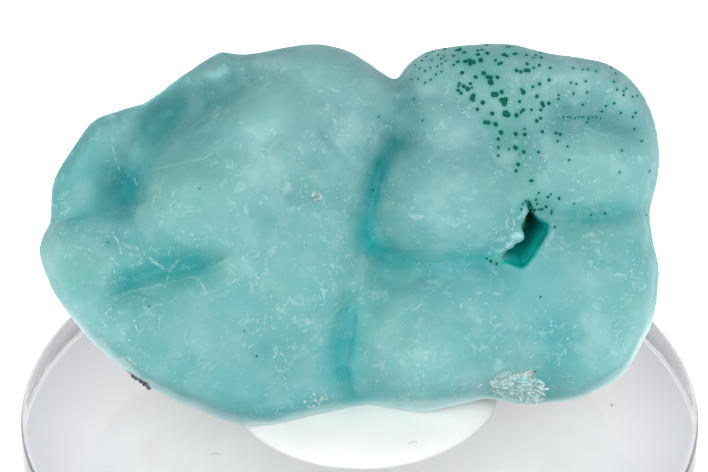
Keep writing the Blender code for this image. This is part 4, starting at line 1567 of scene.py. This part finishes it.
@dataclass
class Cleavage:
    """The small bright rhombs where the crust is freshly broken or chipped."""

    skin: Skin
    finish: CleavageFinish = field(default_factory=CleavageFinish)
    seed: int = 4
    sunk: float = 0.55
    rhombs: tuple[Scatter, ...] = (
        Scatter(Patch(11.7, 1.9, 2.0, 1.1, -12), 180, 0.07, 0.28),
        Scatter(Patch(9.2, 1.7, 0.6, 0.5), 14, 0.05, 0.14),
        Scatter(Patch(-3.1, 0.9, 1.1, 0.6), 22, 0.05, 0.15),
        Scatter(Patch(-3.1, 15.9, 0.34, 0.42), 16, 0.06, 0.14),
    )
    glints: tuple[Scatter, ...] = (
        Scatter(Patch(12.2, 2.6, 0.5, 0.5), 24, 0.08, 0.40),
        Scatter(Patch(11.0, 2.6, 1.1, 0.3, 10), 18, 0.08, 0.40),
        Scatter(Patch(9.9, 1.9, 0.5, 0.6), 18, 0.06, 0.25),
        Scatter(Patch(13.2, 1.2, 0.6, 0.8), 30, 0.10, 0.45),
        Scatter(Patch(11.6, 1.4, 1.4, 0.7), 24, 0.05, 0.30),
        Scatter(Patch(-3.1, 15.9, 0.3, 0.4), 12, 0.06, 0.20),
        Scatter(Patch(-3.1, 0.9, 1.0, 0.5), 12, 0.03, 0.09),
    )
    splinters: tuple[Scatter, ...] = (
        Scatter(Patch(-16.3, 2.3, 1.0, 0.25, -32), 40, 0.08, 0.26),
        Scatter(Patch(10.05, 1.8, 0.12, 0.10), 5, 0.04, 0.09),
        Scatter(Patch(-3.05, 15.7, 0.2, 0.25), 4, 0.05, 0.09),
    )

    def build(self) -> None:
        """Builds the rhombs, half sunk, the bright slivers among them and the dark splinters."""
        finish = self.finish
        rhombs = Sprinkle("cleavage_rhombs", Shape.RHOMB, finish.material(), flatness=0.5,
                          tumble=0.12, twist=1.0, seed=3)
        glints = Sprinkle("cleavage_glints", Shape.RHOMB, finish.material(finish.glint),
                          flatness=0.15, slenderness=0.14, tumble=0.10, twist=0.35, seed=9)
        dark = Sprinkle("matrix_splinters", Shape.RHOMB, finish.material(finish.splinter),
                        flatness=0.6, slenderness=0.5, tumble=0.3, twist=1.0, seed=5)
        random = np.random.default_rng(self.seed)
        for grains, scatters in ((rhombs, self.rhombs), (glints, self.glints),
                                 (dark, self.splinters)):
            for scatter in scatters:
                self.strew(grains, scatter, random)
            grains.build(Slot.CRUST)

    def strew(self, grains: Sprinkle, scatter: Scatter, random: np.random.Generator) -> None:
        """Puts one scatter's grains on the crust.

        Args:
            grains: The sprinkle that they join.
            scatter: Where, how many and how large.
            random: Where the chances come from.
        """
        patch, lean = scatter.patch, math.radians(scatter.patch.turn)
        for _ in range(scatter.count):
            turn, out = random.uniform(0, math.tau), math.sqrt(random.uniform(0, 1))
            du, dv = patch.reach_u * out * math.cos(turn), patch.reach_v * out * math.sin(turn)
            u = patch.u + du * math.cos(lean) - dv * math.sin(lean)
            v = patch.v + du * math.sin(lean) + dv * math.cos(lean)
            size = scatter.small + (scatter.large - scatter.small) * random.uniform(0, 1) ** 2
            place, normal = self.skin.seat(u, v)
            if place is None:
                place, normal = self.skin.nearest(FACE.matrix() @ Vector((u, v, 0.0)))
            sink = self.sunk * size * grains.flatness
            grains.put(place - normal * sink * MM, normal, size)


@dataclass
class Base:
    """The clear acrylic disc that the stone is shown on."""

    node: str = "acrylic_stand"
    chamfer: float = 0.4
    chamfer_steps: int = 4
    sharp_above: float = 25.0
    upright: float = 0.2
    flat: float = 0.99
    sides: int = 256
    finish: AcrylicFinish = field(default_factory=AcrylicFinish)

    def build(self) -> bpy.types.Object:
        """Turns the disc, round and chamfered.

        Returns:
            The base.
        """
        low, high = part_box(self.node)
        radius, height = (high.x - low.x) / 2, high.z - low.z
        bm = bmesh.new()
        bmesh.ops.create_cone(bm, cap_ends=True, segments=self.sides, radius1=radius,
                              radius2=radius, depth=height)
        bmesh.ops.translate(bm, verts=bm.verts, vec=(low + high) / 2)
        obj = new_object("acrylic_base_blank", finished(bm, "acrylic_base"))
        bevel = obj.modifiers.new("Chamfer", "BEVEL")
        bevel.width = self.chamfer * MM
        bevel.segments = self.chamfer_steps
        bevel.limit_method = "ANGLE"
        mesh = baked(obj)
        base = new_object("acrylic_base", mesh, self.finish.material())
        mesh.materials.append(self.finish.edge_material())
        mesh.materials.append(self.finish.glowing_bevel_material())
        for face in mesh.polygons:
            if -self.flat < face.normal.z < -self.upright:
                face.material_index = 2
            elif face.normal.z < self.flat:
                face.material_index = int(face.normal.z > -self.flat)
        mesh.set_sharp_from_angle(angle=math.radians(self.sharp_above))
        report(base)
        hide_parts(self.node)
        return base


@dataclass
class Tack:
    """The patty of putty, pressed flat under the stone's foot."""

    node: str = "mineral_tack"
    height: float = 1.75
    rings: int = 40
    spokes: int = 180
    sharp_above: float = 60.0
    waviness: float = 0.02
    wave_turns: float = 1.4
    dent_depth: float = 0.12
    dent_size: float = 2.2
    finish: TackFinish = field(default_factory=TackFinish)

    def build(self) -> bpy.types.Object:
        """Models the patty as a low dome with thumbed edges.

        Returns:
            The tack.
        """
        low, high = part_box(self.node)
        centre = (low + high) / 2
        radius = (high.x - low.x) / 2
        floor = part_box("acrylic_stand")[1].z
        bm = bmesh.new()
        top = bm.verts.new((centre.x, centre.y, floor + self.height * MM))
        rings = []
        for i in range(1, self.rings + 1):
            slant = math.radians(90) * i / self.rings
            ring = []
            for k in range(self.spokes):
                turn = math.tau * k / self.spokes
                around = Vector((math.cos(turn), math.sin(turn), 4.0)) * self.wave_turns
                wave = 1 + self.waviness * noise.noise(around)
                reach = radius * wave * math.sin(slant)
                place = Vector((centre.x + reach * math.cos(turn),
                                centre.y + reach * math.sin(turn), floor))
                dent = self.dent_depth * MM * noise.noise(place / (self.dent_size * MM))
                place.z += max(self.height * MM * math.cos(slant) + dent * math.cos(slant), 0)
                ring.append(bm.verts.new(place))
            rings.append(ring)
        for k in range(self.spokes):
            bm.faces.new((top, rings[0][k], rings[0][(k + 1) % self.spokes]))
        for inner, outer in zip(rings[:-1], rings[1:]):
            for k in range(self.spokes):
                n = (k + 1) % self.spokes
                bm.faces.new((inner[k], outer[k], outer[n], inner[n]))
        bm.faces.new(reversed(rings[-1]))
        bmesh.ops.recalc_face_normals(bm, faces=bm.faces)
        mesh = finished(bm, "tack_patty")
        tack = new_object("tack_patty", mesh, self.finish.material())
        mesh.set_sharp_from_angle(angle=math.radians(self.sharp_above))
        report(tack)
        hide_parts(self.node)
        return tack


@dataclass
class Fibre:
    """A stray fibre that has settled on a piece below the stone."""

    name: str
    ground: Skin
    route: Route
    slot: Slot
    grey: str = "#A9AEB0"
    thickness: float = 0.05

    def build(self) -> bpy.types.Object:
        """Lays the fibre along its route.

        Returns:
            The fibre.
        """
        curve = bpy.data.curves.new(self.name, "CURVE")
        curve.dimensions = "3D"
        curve.bevel_depth = self.thickness / 2 * MM
        curve.bevel_resolution = 2
        curve.use_fill_caps = True
        spline = curve.splines.new("POLY")
        spline.points.add(len(self.route) - 1)
        for point, (u, v) in zip(spline.points, self.route):
            place, normal = self.ground.seat(u, v)
            point.co = (*(place + normal * self.thickness / 2 * MM), 1.0)
        obj = bpy.data.objects.new(f"{self.name}_line", curve)
        bpy.context.scene.collection.objects.link(obj)
        mesh = baked(obj)
        bm = bmesh.new()
        bm.from_mesh(mesh)
        bmesh.ops.remove_doubles(bm, verts=bm.verts, dist=0.001 * MM)
        bm.to_mesh(mesh)
        bm.free()
        material, _, shader = new_material("grey_lint")
        set_shader(shader, {"Base Color": srgb(self.grey), "Roughness": 0.8})
        fibre = new_object(self.name, mesh, material)
        report(fibre)
        return fibre


@dataclass
class Studio:
    """The plain setting: a pale floor, soft light all round and the photograph's camera."""

    floor_reach: float = 3.0
    horizon: float = 0.45
    sky: float = 0.68
    front_power: float = 4.9
    softbox_size: float = 0.6
    softboxes: tuple[tuple[str, tuple[float, float, float]], ...] = (
        ("left_front", (-0.50, -0.72, 0.62)),
        ("right_front", (0.46, -0.68, 0.60)),
    )
    lens: float = 176.8
    distance: float = 280.0
    fall: float = 33.6
    aim: tuple[float, float, float] = (-0.42, 22.66, 6.35)
    sheet: SheetFinish = field(default_factory=SheetFinish)

    def build(self) -> None:
        """Sets up the floor, the lights and the camera."""
        self.lay_floor()
        self.hang_lights()
        self.place_camera()
        bpy.context.scene.view_settings.view_transform = "Standard"

    def lay_floor(self) -> None:
        """Lays the pale sheet just under the base."""
        bm = bmesh.new()
        bmesh.ops.create_grid(bm, x_segments=8, y_segments=8, size=self.floor_reach)
        bmesh.ops.translate(bm, verts=bm.verts, vec=(0, 0, -0.02 * MM))
        new_object("floor", finished(bm, "floor"), self.sheet.material())

    def hang_lights(self) -> None:
        """Sets two soft lights in front and lets the room's white walls fill the rest."""
        world = bpy.data.worlds.new("white_room")
        world.use_nodes = True
        tree = world.node_tree
        background = tree.nodes["Background"]
        background.inputs["Color"].default_value = (1.0, 1.0, 1.0, 1.0)
        way = add(tree, "ShaderNodeTexCoord").outputs["Generated"]
        up = add(tree, "ShaderNodeSeparateXYZ", {}, {0: way}).outputs["Z"]
        sky = add(tree, RANGE, {},
                  {"Value": up, "From Max": 0.6, "To Min": self.horizon, "To Max": self.sky})
        tree.links.new(sky.outputs["Result"], background.inputs["Strength"])
        bpy.context.scene.world = world
        for name, place in self.softboxes:
            self.softbox(name, place)

    def softbox(self, name: str, place: tuple[float, float, float]) -> None:
        """Hangs one square soft light, turned to the object."""
        light = bpy.data.lights.new(name, "AREA")
        light.size = self.softbox_size
        light.energy = self.front_power
        lamp = bpy.data.objects.new(name, light)
        lamp.location = place
        lamp.rotation_euler = (-Vector(place)).to_track_quat("-Z", "Y").to_euler()
        lamp.visible_camera = False
        bpy.context.scene.collection.objects.link(lamp)

    def place_camera(self) -> None:
        """Puts the camera where the photograph was taken from."""
        data = bpy.data.cameras.new("photo_camera")
        data.lens = self.lens
        data.sensor_width = 36.0
        camera = bpy.data.objects.new("photo_camera", data)
        fall = math.radians(self.fall)
        view = Vector((0, math.cos(fall), -math.sin(fall)))
        camera.location = (Vector(self.aim) - view * self.distance) * MM
        camera.rotation_euler = (math.radians(90) - fall, 0, 0)
        bpy.context.scene.collection.objects.link(camera)
        bpy.context.scene.camera = camera


def main() -> None:
    """Builds the object's pieces in order, and then the setting."""
    logging.basicConfig(level=logging.INFO, format="%(name)s: %(message)s")
    base = Base().build()
    tack = Tack().build()
    skin = Skin(Stone().build())
    Spherules(skin).build()
    Cleavage(skin).build()
    Fibre("base_fibre", Skin(base), ((-10.95, -3.05), (-10.75, -2.98), (-10.5, -2.99),
                                     (-10.3, -3.06)), Slot.ACRYLIC).build()
    Fibre("base_speck", Skin(base), ((18.84, 0.35), (18.99, 0.32)), Slot.ACRYLIC, "#9A9DA2",
          0.13).build()
    Fibre("tack_fibre", Skin(tack), ((3.6, -2.25), (3.8, -2.1), (4.0, -2.05), (4.2, -2.15)),
          Slot.TACK).build()
    Studio().build()


if __name__ == "__main__":
    main()
